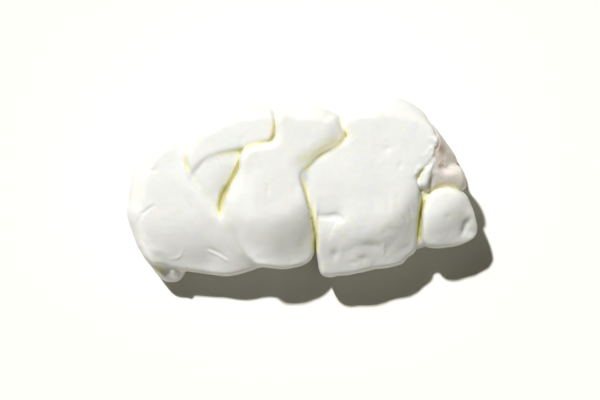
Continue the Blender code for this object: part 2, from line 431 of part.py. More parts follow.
def loaf():
    """The loaf's field on the grid: negative inside."""
    count = np.ceil((HIGH - LOW) / CELL).astype(int) + 1
    axes = [LOW[i] + CELL * np.arange(count[i]) for i in range(3)]
    names = (*PADS, *LOBES)
    box = {name: box_of(name, count) for name in names}
    dist = {}
    for name, (a, b) in box.items():
        x = points_of(axes, a, b)
        dist[name] = (from_pad(name, x) if name in PADS else from_lobe(name, x)).reshape(b - a)

    def shared(one, two):
        a, b = np.maximum(box[one][0], box[two][0]), np.minimum(box[one][1], box[two][1])
        return [slices(a, b)] + [dist[n][slices(a - box[n][0], b - box[n][0])] for n in (one, two)]

    field = np.full(count, 8.0)
    for name in names:
        sl = slices(*box[name])
        field[sl] = np.minimum(field[sl], dist[name])
    for one, two, k in SOFT:
        sl, d1, d2 = shared(one, two)
        field[sl] = np.minimum(field[sl], soft_least(d1, d2, k))
    field = np.clip(field, -6, 6)
    flat = points_of(axes, np.zeros(3, int), np.array((*count[:2], 1)))
    cut = np.zeros(len(flat))
    for line, wide, deep in CUTS:
        off, share = beside(line, flat)
        long = np.linalg.norm(np.diff(line, axis=0), axis=1).sum()
        cut += deep * np.clip(np.minimum(share, 1 - share) * long / 3 + 0.1, 0, 1) * np.exp(-((off / wide) ** 2))
    high = np.clip((axes[2] - 10) / 5, 0, 1)
    return field + cut.reshape(count[0], count[1], 1) * high


def nets(field):
    """Quads over the surface where the field is 0, facing its positive side."""
    inside = field < 0
    nx, ny, nz = field.shape
    total = np.zeros((nx - 1, ny - 1, nz - 1), np.uint8)
    corners = [(i, j, k) for i in (0, 1) for j in (0, 1) for k in (0, 1)]
    for i, j, k in corners:
        total += inside[i : nx - 1 + i, j : ny - 1 + j, k : nz - 1 + k]
    cells = (total > 0) & (total < 8)
    index = -np.ones(cells.shape, np.int64)
    at = np.argwhere(cells)
    index[cells] = np.arange(len(at))
    summed = np.zeros((len(at), 3))
    crossings = np.zeros(len(at))
    value = {c: field[at[:, 0] + c[0], at[:, 1] + c[1], at[:, 2] + c[2]] for c in corners}
    for one in corners:
        for axis in range(3):
            if one[axis]:
                continue
            two = tuple(1 if i == axis else v for i, v in enumerate(one))
            m = (value[one] < 0) != (value[two] < 0)
            point = np.tile(np.array(one, float), (m.sum(), 1))
            point[:, axis] = value[one][m] / (value[one][m] - value[two][m])
            summed[m] += point
            crossings[m] += 1
    points = (at + summed / crossings[:, None]) * CELL + LOW
    quads = []
    for axis in range(3):
        here, there = [slice(1, -1)] * 3, [slice(1, -1)] * 3
        here[axis], there[axis] = slice(0, field.shape[axis] - 1), slice(1, field.shape[axis])
        a, b = inside[tuple(here)], inside[tuple(there)]
        e = np.argwhere(a != b)
        turned = ~a[e[:, 0], e[:, 1], e[:, 2]]
        back = np.array([1, 1, 1])
        back[axis] = 0
        e = e + back
        u, w = np.zeros(3, int), np.zeros(3, int)
        u[(axis + 1) % 3] = w[(axis + 2) % 3] = 1
        quad = np.stack([index[tuple(g.T)] for g in (e - u - w, e - w, e, e - u)], 1)
        quad[turned] = quad[turned][:, ::-1]
        quads.append(quad)
    return points, np.concatenate(quads)


def outer_shell(points, quads):
    """The largest connected shell, without shells sealed inside it."""
    label = np.arange(len(points))
    edges = np.concatenate([quads[:, [i, (i + 1) % 4]] for i in range(4)])
    while True:
        least = np.minimum(label[edges[:, 0]], label[edges[:, 1]])
        new = label.copy()
        np.minimum.at(new, edges[:, 0], least)
        np.minimum.at(new, edges[:, 1], least)
        np.minimum.at(new, label[edges[:, 0]], least)
        np.minimum.at(new, label[edges[:, 1]], least)
        new = new[new[new]]
        if (new == label).all():
            break
        label = new
    names, counts = np.unique(label, return_counts=True)
    keep = label == names[counts.argmax()]
    number = np.cumsum(keep) - 1
    return points[keep], number[quads[keep[quads].all(1)]]


def material():
    cheese = bpy.data.materials.new("cheese")
    cheese.use_nodes = True
    shader = cheese.node_tree.nodes["Principled BSDF"]
    shader.inputs["Base Color"].default_value = (0.87, 0.87, 0.82, 1)
    shader.inputs["Roughness"].default_value = 0.45
    shader.inputs["Metallic"].default_value = 0.0
    return cheese


def ground_cutter():
    """A block below z = 0 that takes the flat face the loaf rests on."""
    mesh = bpy.data.meshes.new("ground_cutter")
    bm = bmesh.new()
    bmesh.ops.create_cube(bm, size=1.0)
    bmesh.ops.scale(bm, vec=(0.30, 0.20, 0.04), verts=bm.verts)
    bmesh.ops.translate(bm, vec=(0, 0, -0.02), verts=bm.verts)
    bm.to_mesh(mesh)
    bm.free()
    cutter = bpy.data.objects.new("ground_cutter", mesh)
    bpy.context.scene.collection.objects.link(cutter)
    cutter.hide_render = True
    cutter.display_type = "WIRE"
    return cutter


def build():
    for old in list(bpy.data.objects):
        bpy.data.objects.remove(old)
    points, quads = outer_shell(*nets(loaf()))
    points = (points - (CENTRE_X, CENTRE_Y, 0.0)) * MM
    mesh = bpy.data.meshes.new("braid")
    mesh.from_pydata(points.tolist(), [], quads.tolist())
    mesh.update()
    mesh.materials.append(material())
    braid = bpy.data.objects.new("braid", mesh)
    bpy.context.scene.collection.objects.link(braid)

    even = braid.modifiers.new("Even", "REMESH")
    even.mode = "VOXEL"
    even.voxel_size = VOXEL * MM
    even.use_smooth_shade = True

    soften = braid.modifiers.new("Soften", "SMOOTH")
    soften.factor = 0.5
    soften.iterations = SOFTEN

    thin = braid.modifiers.new("Thin", "DECIMATE")
    thin.decimate_type = "COLLAPSE"
    thin.ratio = KEEP
    thin.use_collapse_triangulate = True

    ground = braid.modifiers.new("Ground", "BOOLEAN")
    ground.operation = "DIFFERENCE"
    ground.solver = "EXACT"
    ground.object = ground_cutter()


build()
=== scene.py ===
"""Looks of the braided fresh cheese: soft, moist, fused strands with yellow creases.

The visible piece is one closed mesh. Its form is a field of signed distances: each
strand is a lobe round a smooth path, near lobes run together or meet in a crease, and
the surface is where the field is zero. Lengths are in millimetres until the mesh is
made. X runs along the loaf, Y across it, Z up.
"""

import math

import bpy
import numpy as np
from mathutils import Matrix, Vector


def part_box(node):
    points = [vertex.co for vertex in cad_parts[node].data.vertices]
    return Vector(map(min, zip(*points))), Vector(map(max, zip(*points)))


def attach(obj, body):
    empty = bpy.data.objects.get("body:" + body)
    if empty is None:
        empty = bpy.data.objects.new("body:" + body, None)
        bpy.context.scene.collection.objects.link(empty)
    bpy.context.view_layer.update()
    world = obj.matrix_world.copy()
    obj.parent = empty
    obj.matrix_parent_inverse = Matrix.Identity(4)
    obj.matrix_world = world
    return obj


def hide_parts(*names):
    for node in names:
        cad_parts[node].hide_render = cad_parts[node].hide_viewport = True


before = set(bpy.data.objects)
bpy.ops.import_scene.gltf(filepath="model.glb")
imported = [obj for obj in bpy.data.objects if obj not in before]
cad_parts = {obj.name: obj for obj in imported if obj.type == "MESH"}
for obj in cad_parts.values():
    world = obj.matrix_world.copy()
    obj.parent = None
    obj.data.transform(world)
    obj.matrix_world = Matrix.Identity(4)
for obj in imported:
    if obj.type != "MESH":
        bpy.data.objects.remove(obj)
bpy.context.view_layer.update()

MM = 0.001
CELL = 0.5  # grid on which the surface is found
MOST_TRIANGLES = 192000
LOW = np.array((-74.0, -41.0, -3.0))  # corners of that grid
HIGH = np.array((75.0, 42.0, 44.0))
STEP = 1.5  # spacing of the samples along a strand
PRESS = 1.2  # how far the ground presses each strand flat
TAPER_ON = 0.6  # how much of a strand's taper goes on into its rounded end
FOOT = 2.0  # rounding where the loaf meets the ground

# Lobes that show from above. Points of the outline in plan, which is smooth and closed: x, y, how round the rim is,
# how far the lobe goes on beneath its neighbour, and how ragged the edge is (0 if not given).
# top: its height in the middle, slopes along X and Y, and curvatures along X and Y. girth: the level where it is widest.
# foot: how far the lobe draws in from its widest level down to the ground. round: squareness of the rim.
# grain: the way the strand runs.
PADS = {
    "left_end": dict(top=(29.6, 0.03, 0.02, 0.002, 0.0075), girth=15, foot=13, round=2.0, grain=(0.35, -0.94), outline=[
        (-70.1, -9.5, 7, 0), (-69.5, -3.5, 8, 0), (-68.3, 4.5, 8, 0), (-65.9, 12.5, 8, 0), (-61.3, 20.5, 8, 0),
        (-57.5, 23.7, 8, 0), (-54.3, 24.9, 8, 0), (-48.3, 24.9, 7, 0), (-42.5, 24.6, 6, 1), (-43.5, 14.0, 5, 3),
        (-43.8, 7.1, 6, 3), (-37.9, -1.2, 7, 4), (-32.1, -8.6, 7, 6), (-28.5, -15.0, 7, 6.4), (-25.5, -21.0, 7, 6),
        (-22.9, -25.3, 5, 4.4), (-18.2, -30.8, 1.9, 0), (-22.3, -32.8, 1.9, 0), (-29.7, -34.3, 1.9, 0), (-38.3, -33.4, 1.9, 0),
        (-49.9, -31.7, 1.9, 0), (-54.5, -30.5, 1.9, 0), (-60.0, -29.4, 1.9, 0), (-64.9, -23.9, 4, 0), (-67.6, -17.5, 6, 0)]),
    "back_left": dict(top=(33.5, 0.22, -0.03, 0.0, 0.003), girth=14, foot=13, round=2.0, grain=(0.9, 0.42), outline=[
        (-40.3, 26.1, 7, 0), (-37.1, 29.1, 7, 0), (-34.3, 31.3, 7, 0), (-28.7, 33.3, 7, 0), (-24.3, 34.5, 7, 0),
        (-17.1, 34.5, 7, 0), (-14.3, 33.7, 6, 0), (-11.1, 32.3, 4, 0), (-10.7, 27.8, 3, 2.0), (-11.7, 20.0, 3, 2.1),
        (-14.8, 17.9, 3.5, 1.2), (-17.9, 17.2, 3.5, 1.2), (-21.1, 16.1, 3.5, 1.0), (-23.8, 14.8, 3.5, 0.8), (-29.7, 13.5, 4, 0.9),
        (-34.4, 12.2, 4.5, 1.3), (-37.5, 11.2, 5, 2), (-40.7, 9.4, 5, 3), (-43.0, 7.5, 4, 3), (-44.4, 9.8, 4, 2.5),
        (-44.6, 14.1, 4, 2.5), (-43.4, 18.0, 5, 3), (-41.9, 23.0, 6, 3)]),
    "middle_strand": dict(top=(37.6, 0.0, -0.02, 0.0, 0.0), girth=22, foot=13, round=2.0, grain=(0.35, 0.94), outline=[
        (-24.2, 12.2, 4, 1.8), (-25.0, 8.2, 4, 1.4), (-28.1, 2.4, 6, 1.2), (-30.8, -2.7, 6, 1.0), (-31.5, -8.4, 6, 1.0),
        (-30.4, -13.4, 5, 1.0), (-27.2, -18.4, 5, 1.0), (-25.0, -21.7, 4, 1), (-22.9, -25.3, 3, 0.6), (-18.1, -29.7, 1.9, 0),
        (-12.2, -30.8, 1.9, 0), (-8.3, -31.2, 1.9, 0), (-4.3, -31.0, 1.9, 0), (-0.3, -30.0, 1.9, 0), (2.9, -28.4, 1.9, 0),
        (4.9, -25.6, 1.9, 0), (5.9, -21.5, 2, 0), (6.2, -17.4, 2, 0), (5.4, -12.4, 2, 0), (4.1, -7.0, 2, 0),
        (2.2, -0.4, 2, 0), (-0.2, 6.2, 2.5, 1.2), (3.0, 10.4, 3, 2.8), (6.4, 14.2, 3, 3.0), (14.0, 18.4, 3, 3.0),
        (17.0, 21.0, 4, 2.6), (16.0, 26.0, 5, 1.6), (14.3, 29.7, 5, 0.5), (11.7, 31.7, 6, 0), (7.7, 33.3, 6, 0), (3.7, 33.7, 6, 0),
        (-0.3, 33.8, 6, 0), (-5.1, 33.6, 5, 0), (-7.9, 33.1, 4, 0), (-10.3, 32.1, 4, 0), (-10.5, 27.8, 4, 1.6),
        (-11.4, 20.5, 6, 2.6), (-14.8, 18.5, 7, 4.2), (-17.9, 18.0, 7, 4.2), (-21.1, 16.5, 6, 3.6), (-23.0, 15.0, 5, 2.4)]),
    "gap_strand": dict(top=(31.8, 0.14, 0.04, 0.010, 0.004), girth=14, foot=6, round=2.0, grain=(0.4, -0.9), outline=[
        (-46.0, 8.0, 6, 0), (-38.0, 19.0, 6, 0), (-28.0, 22.0, 6, 0), (-19.0, 21.0, 6, 0), (-19.0, 8.0, 6, 0),
        (-24.0, -1.0, 6, 0), (-28.0, -10.0, 6, 0), (-35.0, -11.0, 6, 0), (-43.0, -2.0, 6, 0)]),
    "front_right": dict(top=(35.6, 0.0, -0.01, 0.0012, 0.0025), girth=19, foot=13, round=2.0, grain=(0.55, -0.84), outline=[
        (-0.2, 6.2, 2, 1.8), (2.2, -0.4, 1.6, 2.0), (4.1, -7.0, 1.2, 1.6), (5.4, -12.4, 1.0, 1.2), (6.2, -17.3, 1.0, 1.0),
        (6.0, -23.2, 1.2, 0.5), (6.5, -28.3, 1.8, 0), (7.4, -33.2, 2.4, 0), (9.6, -34.6, 2.4, 0), (12.1, -34.8, 1.9, 0),
        (14.1, -34.1, 1.9, 0), (20.5, -33.4, 1.9, 0), (27.7, -31.9, 1.9, 0), (35.7, -30.5, 1.9, 0), (40.5, -29.2, 1.9, 0),
        (42.5, -26.9, 1.9, 0), (45.3, -24.7, 2, 0), (46.3, -22.3, 2, 0), (45.9, -18.6, 2, 0.6), (46.3, -13.4, 2, 0.8),
        (46.9, -7.5, 2.5, 0.8), (47.5, -3.5, 3, 0.8), (46.8, 0.4, 2, 0.6, 0.3), (45.7, 4.4, 1.6, 0.4, 0.5),
        (47.6, 7.9, 1.4, 0.3, 1.1), (50.8, 11.0, 1.4, 0.3, 1.4), (53.1, 15.0, 1.4, 0.2, 1.4), (53.9, 18.5, 1.2, 0, 1.2),
        (53.1, 22.4, 1.6, 0, 0.8), (51.8, 26.7, 3, 0, 0.4), (48.9, 31.3, 6, 0), (44.9, 34.5, 8, 0), (40.5, 36.7, 9, 0),
        (35.7, 37.7, 9, 0), (31.7, 37.3, 9, 0), (28.5, 36.5, 8, 0), (26.1, 34.9, 7, 0), (21.9, 33.0, 5, 0),
        (17.9, 30.8, 4, 0.6), (15.9, 27.6, 3, 1.2), (16.0, 24.4, 2.5, 1.5), (17.3, 22.0, 2, 1), (16.9, 20.4, 2, 0.8),
        (14.0, 18.1, 2, 1.2), (9.5, 16.2, 2, 1.2), (6.2, 14.1, 2, 1.2), (2.8, 10.2, 2, 1.2)]),
    "right_end": dict(top=(33.0, -0.02, 0.0, 0.002, 0.0), girth=25, foot=21, round=2.0, grain=(0.3, -0.95), outline=[
        (47.0, 8.0, 4, 0), (52.0, 9.4, 5, 0), (57.0, 10.3, 5, 0), (61.0, 10.4, 4, 0), (63.8, 8.9, 2.8, 0), (65.1, 5.6, 2.6, 0),
        (65.4, 2.4, 2.8, 0), (64.4, -0.5, 3, 0), (59.7, -0.4, 3, 0), (55.0, 0.0, 3, 0), (51.6, -1.5, 3, 0), (48.0, -1.5, 3, 0),
        (45.0, 3.0, 3, 0.5)]),
    "right_back": dict(top=(33.6, -0.10, 0.0, 0.0, 0.0), girth=7, foot=6, round=2.0, grain=(0.3, -0.95), outline=[
        (51.7, 27.7, 3, 0.5), (54.4, 24.9, 4, 0), (56.7, 21.8, 5, 0), (59.8, 17.9, 6, 0), (62.2, 14.6, 7, 0),
        (63.2, 11.6, 8, 0), (62.4, 8.3, 8, 0), (60.0, 4.0, 6, 0), (54.0, 3.0, 5, 0), (46.0, 4.0, 3, 0.5),
        (46.0, 8.4, 3, 0.5), (49.0, 12.5, 3, 0.6), (51.0, 16.5, 3, 0.8), (51.4, 20.8, 3, 0.8), (51.0, 25.0, 3, 0.8)]),
    "flake": dict(top=(35.0, -0.12, 0.15, 0, 0), girth=26, foot=2, round=1.8, grain=(0.3, -0.95), outline=[
        (51.9, 11.6, 1.2, 0.8, 0.3), (48.7, 7.7, 1.4, 0.9, 0.2), (46.6, 3.7, 1.6, 0.7, 0.2), (47.2, 0.4, 2.0, 0),
        (48.1, -2.0, 1.6, 0), (48.9, -1.2, 1.6, 0), (50.4, 1.6, 1.8, 0, 0.2), (51.6, 6.3, 1.6, 0, 0.3)]),
    "small_flake": dict(top=(36.1, -0.1, 0.1, 0, 0), girth=30, foot=2, round=1.8, grain=(0.3, -0.95), outline=[
        (52.8, 22.3, 1.2, 0.2, 0.3), (54.1, 20.7, 1.2, 0, 0.3), (54.3, 18.7, 1.2, 0, 0.3), (52.4, 17.6, 1.2, 0.2, 0.3),
        (51.8, 20.0, 1.2, 0.4)]),
    "strand_end": dict(top=(32.6, 0.03, 0.0, 0.006, 0.006), girth=22, foot=11, round=2.0, grain=(0.2, -0.98), outline=[
        (48.5, -4.6, 2.5, 0.4), (49.3, -2.2, 2.5, 0.4), (51.0, -0.2, 2.5, 0.4), (53.8, 1.1, 2.5, 0.5), (57.6, 1.5, 2.5, 0.5),
        (61.6, 0.9, 3, 0.5), (64.7, -0.8, 4, 0.2), (66.3, -2.9, 4, 0), (67.5, -5.9, 4, 0), (68.7, -8.9, 3, 0), (69.9, -14.5, 2, 0),
        (69.3, -18.0, 2, 0), (66.0, -20.5, 1.9, 0), (61.7, -22.1, 1.9, 0), (53.1, -22.9, 1.9, 0), (49.5, -22.3, 2.4, 0),
        (47.8, -19.4, 2, 0.2), (47.5, -13.4, 2, 0.4), (47.6, -8.3, 2, 0.4)]),
    "tail": dict(top=(19.6, -0.05, 1.0, 0.0, 0.0), girth=8, foot=3, round=2.0, grain=(0.8, -0.6), outline=[
        (-63.0, -26.0, 2, 0), (-61.4, -29.0, 2, 0), (-60.0, -31.5, 1.6, 0), (-57.7, -34.6, 1.6, 0), (-55.0, -36.7, 2, 0),
        (-52.3, -37.0, 1.5, 0), (-49.5, -36.4, 1.5, 0), (-47.1, -32.9, 2, 0), (-48.0, -26.0, 3, 0), (-56.0, -22.0, 3, 0),
        (-62.0, -23.5, 3, 0)]),
}

# Where a lobe sags: from a line in plan its skin falls away to the right.
# First how steep it is along the fall, as pairs of (share of the reach, share of the steepness).
# Then the line: x, y, reach, steepness.
SAGS = {
    "left_end": [
        ([(0, 0), (0.8, 1), (1, 0.7)], [
            (-66.0, -13.0, 8, 0.0), (-62.5, -11.0, 15, 0.18), (-55.5, -10.4, 20, 0.34), (-47.6, -10.4, 20, 0.47),
            (-37.7, -9.4, 21, 0.58), (-31.0, -10.2, 22, 0.56), (-25.0, -12.7, 21, 0.52)]),
        ([(0, 0), (0.3, 1), (1, 1)], [
            (-38.5, -8.5, 5, 0.0), (-43.0, -2.0, 7, 0.25), (-47.0, 5.0, 7, 0.30), (-49.5, 12.0, 6, 0.28),
            (-48.5, 18.0, 5, 0.15), (-47.0, 22.0, 4, 0.0)])],
    "middle_strand": [
        ([(0, 0.1), (0.1, 0.4), (0.25, 0.72), (0.5, 1), (0.65, 1), (0.85, 0.74), (1, 0.66)], [
            (-28.2, 0.5, 3, 0.0), (-28.0, -3.0, 4, 0.3), (-25.4, -8.2, 10, 0.45), (-20.7, -10.4, 17, 0.52),
            (-14.0, -9.6, 20, 0.60), (-8.1, -8.6, 21, 0.78), (-4.2, -7.4, 22, 0.89), (-0.7, -4.3, 22, 0.94),
            (1.5, -0.6, 8, 0.7), (1.9, 3.0, 4, 0.0)]),
        ([(0, 0), (0.3, 1), (1, 1)], [
            (-15.0, 12.0, 8, 0.0), (-16.0, 6.0, 10, 0.20), (-18.0, -2.0, 12, 0.28), (-17.5, -10.0, 12, 0.30),
            (-14.0, -18.0, 12, 0.26), (-10.0, -28.0, 10, 0.0)]),
        ([(0, 0), (0.2, 1), (0.36, 1), (0.52, 0.45), (1, 0.3)], [
            (-4.5, 11.8, 4, 0.0), (-1.5, 13.4, 5, 0.50), (3.4, 15.9, 6, 0.54), (7.6, 18.6, 7, 0.54),
            (9.6, 21.4, 8, 0.52), (11.0, 24.8, 7, 0.46), (11.6, 29.0, 5, 0.2)])],
    "gap_strand": [([(0, 0), (0.4, 1), (1, 1)], [
        (-43.5, -3.5, 8, 0.0), (-41.0, -0.9, 10, 0.45), (-37.3, 3.6, 12, 0.52), (-33.4, 9.1, 11, 0.42),
        (-28.7, 12.3, 8, 0.25), (-25.0, 14.0, 6, 0.0)])],
    "front_right": [([(0, 0.1), (0.15, 0.38), (0.3, 0.75), (0.45, 1), (0.6, 1), (0.75, 0.8), (1, 0.75)], [
        (7.0, -9.5, 16, 0.0), (9.0, -12.0, 22, 0.42), (14.0, -12.5, 23, 0.50), (20.5, -13.0, 20, 0.58),
        (27.5, -12.3, 19, 0.72), (33.0, -9.8, 20, 0.84), (37.3, -5.5, 19, 0.86), (40.8, -0.4, 9, 0.62),
        (42.6, 5.1, 5, 0.30), (43.6, 10.2, 4, 0.0)]),
        ([(0, 0), (0.3, 1), (1, 1)], [
            (5.0, -8.0, 6, 0.0), (9.0, -14.5, 8, 0.08), (13.5, -20.0, 10, 0.17), (19.0, -27.0, 11, 0.22), (24.0, -34.0, 11, 0.18)])],
    "right_end": [([(0, 0.3), (0.3, 1), (1, 1)], [
        (46.0, 5.0, 6, 0.0), (50.0, 5.6, 6, 0.50), (56.0, 6.6, 7, 0.72), (61.0, 5.9, 7, 0.72), (67.0, 4.4, 6, 0.6)])],
    "right_back": [([(0, 0), (0.3, 1), (1, 1)], [
        (55.0, 2.0, 10, 0.9), (54.2, 8.0, 11, 1.2), (54.2, 14.0, 10, 1.02), (54.0, 19.0, 8, 0.6), (52.0, 27.0, 5, 0.3)])],
    "strand_end": [([(0, 0.2), (0.3, 0.75), (0.5, 1), (0.75, 1), (1, 0.8)], [
        (43.0, -10.8, 13, 0.54), (49.0, -10.8, 14, 0.56), (53.0, -9.0, 15, 0.68),
        (56.7, -5.8, 16, 0.80), (59.9, -2.6, 12, 0.65), (63.9, 0.2, 5, 0.3), (66.5, 2.0, 3, 0.0)])],
}

# Strands within. Stations of a lobe: x, y, z of its centre line, half width to the left of travel,
# half width to the right, height above the centre line. Below it a lobe reaches the
# ground and is pressed flat there, unless depth says how far down it goes.
# plan: squareness of the ends seen from above. dome: squareness of the section.
LOBES = {
    "middle": dict(plan=2.0, dome=2.0, depth=9, ends=(10, 10), stations=[
        (-44.0, 1.0, 12, 10, 12, 12), (-25.0, 3.0, 12, 14, 14, 13), (0.0, 3.0, 13, 18, 16, 16),
        (18.0, 8.0, 14, 20, 18, 16), (48.0, 1.0, 12, 12, 13, 12)]),
    "slit_strand": dict(plan=2.4, dome=2.4, ends=(4, 4), stations=[
        (48.0, -1.5, 16, 5, 5, 14.0), (47.3, -5.0, 16, 5, 5, 12.0), (47.0, -12.0, 15, 5, 5, 10.9), (46.7, -18.0, 13, 4, 3.5, 9.8)]),
    "ridge_root": dict(plan=2.0, dome=2.0, ends=(3, 3), depth=10, stations=[(51.2, 2.0, 20, 3, 3, 10.2), (48.4, -3.0, 20, 2.6, 2.6, 8.4)]),
    "ridge_fill": dict(plan=2.0, dome=2.0, ends=(2, 2), depth=10, stations=[
        (46.6, 2.0, 20, 4.2, 2.6, 13.7), (49.0, 7.2, 20, 4.2, 2.6, 14.8), (52.0, 12.0, 20, 3.0, 2.2, 15.3)]),
    "vertex": dict(plan=2.0, dome=2.0, ends=(4, 4), depth=10, stations=[
        (12.0, 17.0, 20, 3, 3, 13.0), (5.0, 12.0, 20, 3, 3, 13.8), (0.3, 7.2, 20, 5, 5, 16.2), (3.0, -3.0, 20, 3, 3, 13.5)]),
}

# Strands that cross beneath, from the front edge and the back edge in turn.
UNDER_COUNT = 6
UNDER_FIRST = -40.0
UNDER_PITCH = 15.5
UNDER_SIZES = (10, 10, 12)
for number in range(UNDER_COUNT):
    edge = UNDER_FIRST + UNDER_PITCH * number
    from_side = -1 if number % 2 == 0 else 1
    LOBES["under_%d" % (number + 1)] = dict(plan=2.2, dome=2.2, ends=(7, 7), stations=[
        (edge, 17.5 * from_side, 10.5, *UNDER_SIZES), (edge + 6.5, 7.0 * from_side, 10.5, *UNDER_SIZES),
        (edge + 14.0, -4.0 * from_side, 10.5, *UNDER_SIZES)])

# Neighbours that run together, and over how many millimetres.
SOFT = [
    ("left_end", "back_left", 5), ("left_end", "gap_strand", 7), ("back_left", "gap_strand", 1.5), ("left_end", "tail", 2.0),
    ("left_end", "middle_strand", 5),
    ("back_left", "middle_strand", 1.4), ("front_right", "flake", 1.0), ("front_right", "small_flake", 0.8), ("right_end", "flake", 1.0), ("right_back", "flake", 1.0), ("right_end", "right_back", 2.5),
    ("front_right", "vertex", 0.8), ("middle_strand", "vertex", 0.8), ("middle", "gap_strand", 4), ("middle", "front_right", 3),
]

# Neighbours that meet in a crease: how deep it is cut, and half its width.
CREASES = {
    ("back_left", "gap_strand"): (0.2, 0.5),
    ("back_left", "middle_strand"): (0.5, 0.5), ("middle_strand", "gap_strand"): (0.6, 0.5),
    ("middle_strand", "front_right"): (0.4, 0.5), ("front_right", "strand_end"): (1.2, 0.6),
    ("front_right", "right_end"): (0.4, 0.5), ("front_right", "right_back"): (0.4, 0.5), ("right_end", "strand_end"): (0.9, 0.6),
    ("front_right", "slit_strand"): (0.4, 0.5), ("strand_end", "slit_strand"): (0.4, 0.5),
    ("flake", "strand_end"): (0.6, 0.6), ("flake", "slit_strand"): (0.5, 0.5),
}

# Cuts along a line in plan: the line, half its width, how deep it is.
CUTS = [
    ([(-45.6, 13.4), (-45.4, 10.2), (-44.2, 7.0)], 0.6, 1.0),
    ([(-44.2, 7.0), (-41.5, 2.8), (-37.9, -1.4), (-32.4, -8.6)], 2.3, 0.6),
    ([(-11.0, 24.0), (-11.6, 21.0), (-12.2, 19.3)], 0.45, 0.3),
    ([(-25.4, 9.8), (-28.6, 3.6), (-31.4, -2.2), (-32.4, -6.5), (-32.1, -11.2)], 0.5, 0.6),
    ([(-29.1, 2.4), (-31.3, -2.2), (-32.2, -6.4), (-32.1, -10.9)], 1.0, 1.7),
    ([(-27.0, -18.6), (-24.7, -22.5), (-22.4, -26.3)], 0.4, 0.4),
    ([(2.6, 10.1), (5.5, 13.8), (8.2, 15.9), (10.4, 17.1), (15.6, 19.6)], 0.45, 0.3),
    ([(3.4, -4.0), (5.0, -10.5), (5.9, -14.5), (6.3, -18.8), (5.6, -24.5)], 0.45, 0.8),
    ([(53.9, 15.1), (51.4, 11.5), (48.4, 8.7), (45.8, 5.1)], 0.4, 0.4),
    ([(51.8, 6.4), (50.8, 1.8), (49.2, -2.0)], 0.5, 1.0),
    ([(67.3, -10.6), (65.4, -12.9), (63.2, -18.4)], 1.0, 1.4),
    ([(7.2, -10.0), (10.5, -10.3), (13.6, -9.8), (15.4, -10.8), (17.0, -12.4)], 0.5, 0.9),
]

# Yellow along lines in plan: whey held in the skin, a painted glow of light thrown between strands, and painted shade
# in the crevices, where the strongest lines turn dark olive. The line in plan, half its width, and how much there is.
WHEY_AND_SHADE_LINES = [
    ([(-3.0, 10.6), (2.8, 13.4), (8.2, 17.0), (13.8, 19.6), (17.0, 22.6)], 2.6, 0.26),
    ([(-0.4, 7.0), (2.6, 10.1), (5.5, 13.8), (8.2, 15.9), (15.6, 19.6), (17.3, 22.4)], 0.7, 0.50),
    ([(0.2, 5.5), (2.2, -0.4), (4.1, -7.0)], 1.0, 0.40), ([(3.4, -5.0), (5.4, -12.4), (6.2, -18.8), (5.6, -25.0)], 1.1, 0.62),
    ([(-24.4, 12.5), (-25.8, 9.0), (-28.6, 3.6), (-31.4, -2.2), (-32.4, -6.5), (-32.2, -11.0)], 0.85, 0.9),
    ([(-24.0, 12.5), (-25.3, 9.0), (-28.2, 3.6), (-31.0, -2.2), (-32.0, -7.8)], 1.6, 0.20),
    ([(-46.2, 14.5), (-45.4, 10.2), (-44.0, 6.5)], 0.9, 0.40),
    ([(-44.0, 6.5), (-40.5, 2.0), (-37.0, -2.6), (-32.0, -9.0)], 1.0, 0.16),
    ([(-10.9, 27.0), (-11.6, 21.5), (-12.6, 19.3)], 1.0, 0.50),
    ([(-13.0, 19.2), (-17.9, 18.2), (-21.1, 16.9), (-25.0, 15.4), (-34.0, 13.4)], 0.9, 0.32),
    ([(17.6, 24.5), (17.4, 20.6)], 1.4, 0.45),
    ([(-31.5, -9.0), (-29.8, -13.5), (-26.5, -19.0), (-23.0, -25.0)], 0.8, 0.10),
    ([(-58.0, -30.0), (-54.5, -32.5)], 1.8, 0.42), ([(47.9, -3.0), (47.3, -8.0), (46.8, -14.0), (46.4, -20.0)], 1.0, 0.48),
    ([(50.5, 0.2), (54.2, 2.9), (58.5, 3.3), (62.5, 2.4)], 0.9, 0.8),
]

# Brown stains on the torn end, which in the hollow behind the bulge also stand in as painted shade: centre in plan,
# half the size along X and Y, and how strong.
STAINS_AND_SHADE = [
    (55.4, 16.4, 1.9, 3.2, 1.0), (55.0, 20.6, 0.9, 1.6, 0.6), (59.4, 13.6, 2.2, 1.3, 0.55), (55.0, 9.5, 2.4, 1.5, 0.85),
    (58.2, 9.8, 2.6, 1.5, 0.5), (53.6, 12.6, 1.2, 1.4, 0.7), (58.6, 13.2, 4.2, 2.8, 0.45),
    (55.4, 11.6, 2.8, 2.2, 0.55),
]

# Where the right end has torn and dried.
TORN = ("right_end", "right_back")


def closed(points):
    """Evenly set rows on the smooth closed line through the points."""
    rows = np.array([(*p, 0.0)[:5] for p in points], float)
    share = (np.arange(6) / 6)[None, :, None]
    a, b, c, d = (np.roll(rows, k, 0)[:, None] for k in (1, 0, -1, -2))
    line = b + share * (c - a) / 2 + share**2 * (a - 2.5 * b + 2 * c - d / 2) + share**3 * (1.5 * (b - c) + (d - a) / 2)
    return line.reshape(-1, 5)


def sagging(q, shape):
    """How far a sag has fallen at the share q of its reach, for a reach and a steepness of 1."""
    at = np.linspace(0, 1, 201)
    slope = np.interp(at, *np.array(shape, float).T)
    return np.interp(q, at, np.concatenate([[0.0], np.cumsum((slope[1:] + slope[:-1]) / 2) / 200]))


def blur_plan(values, r, times=2):
    for _ in range(times):
        for axis in range(2):
            pad = [(0, 0)] * 2
            pad[axis] = (r + 1, r)
            total = np.cumsum(np.pad(values, pad, mode="edge"), axis=axis)
            n = values.shape[axis]
            a, b = [slice(None)] * 2, [slice(None)] * 2
            a[axis], b[axis] = slice(2 * r + 1, 2 * r + 1 + n), slice(0, n)
            values = (total[tuple(a)] - total[tuple(b)]) / (2 * r + 1)
    return values


PLANS = {}


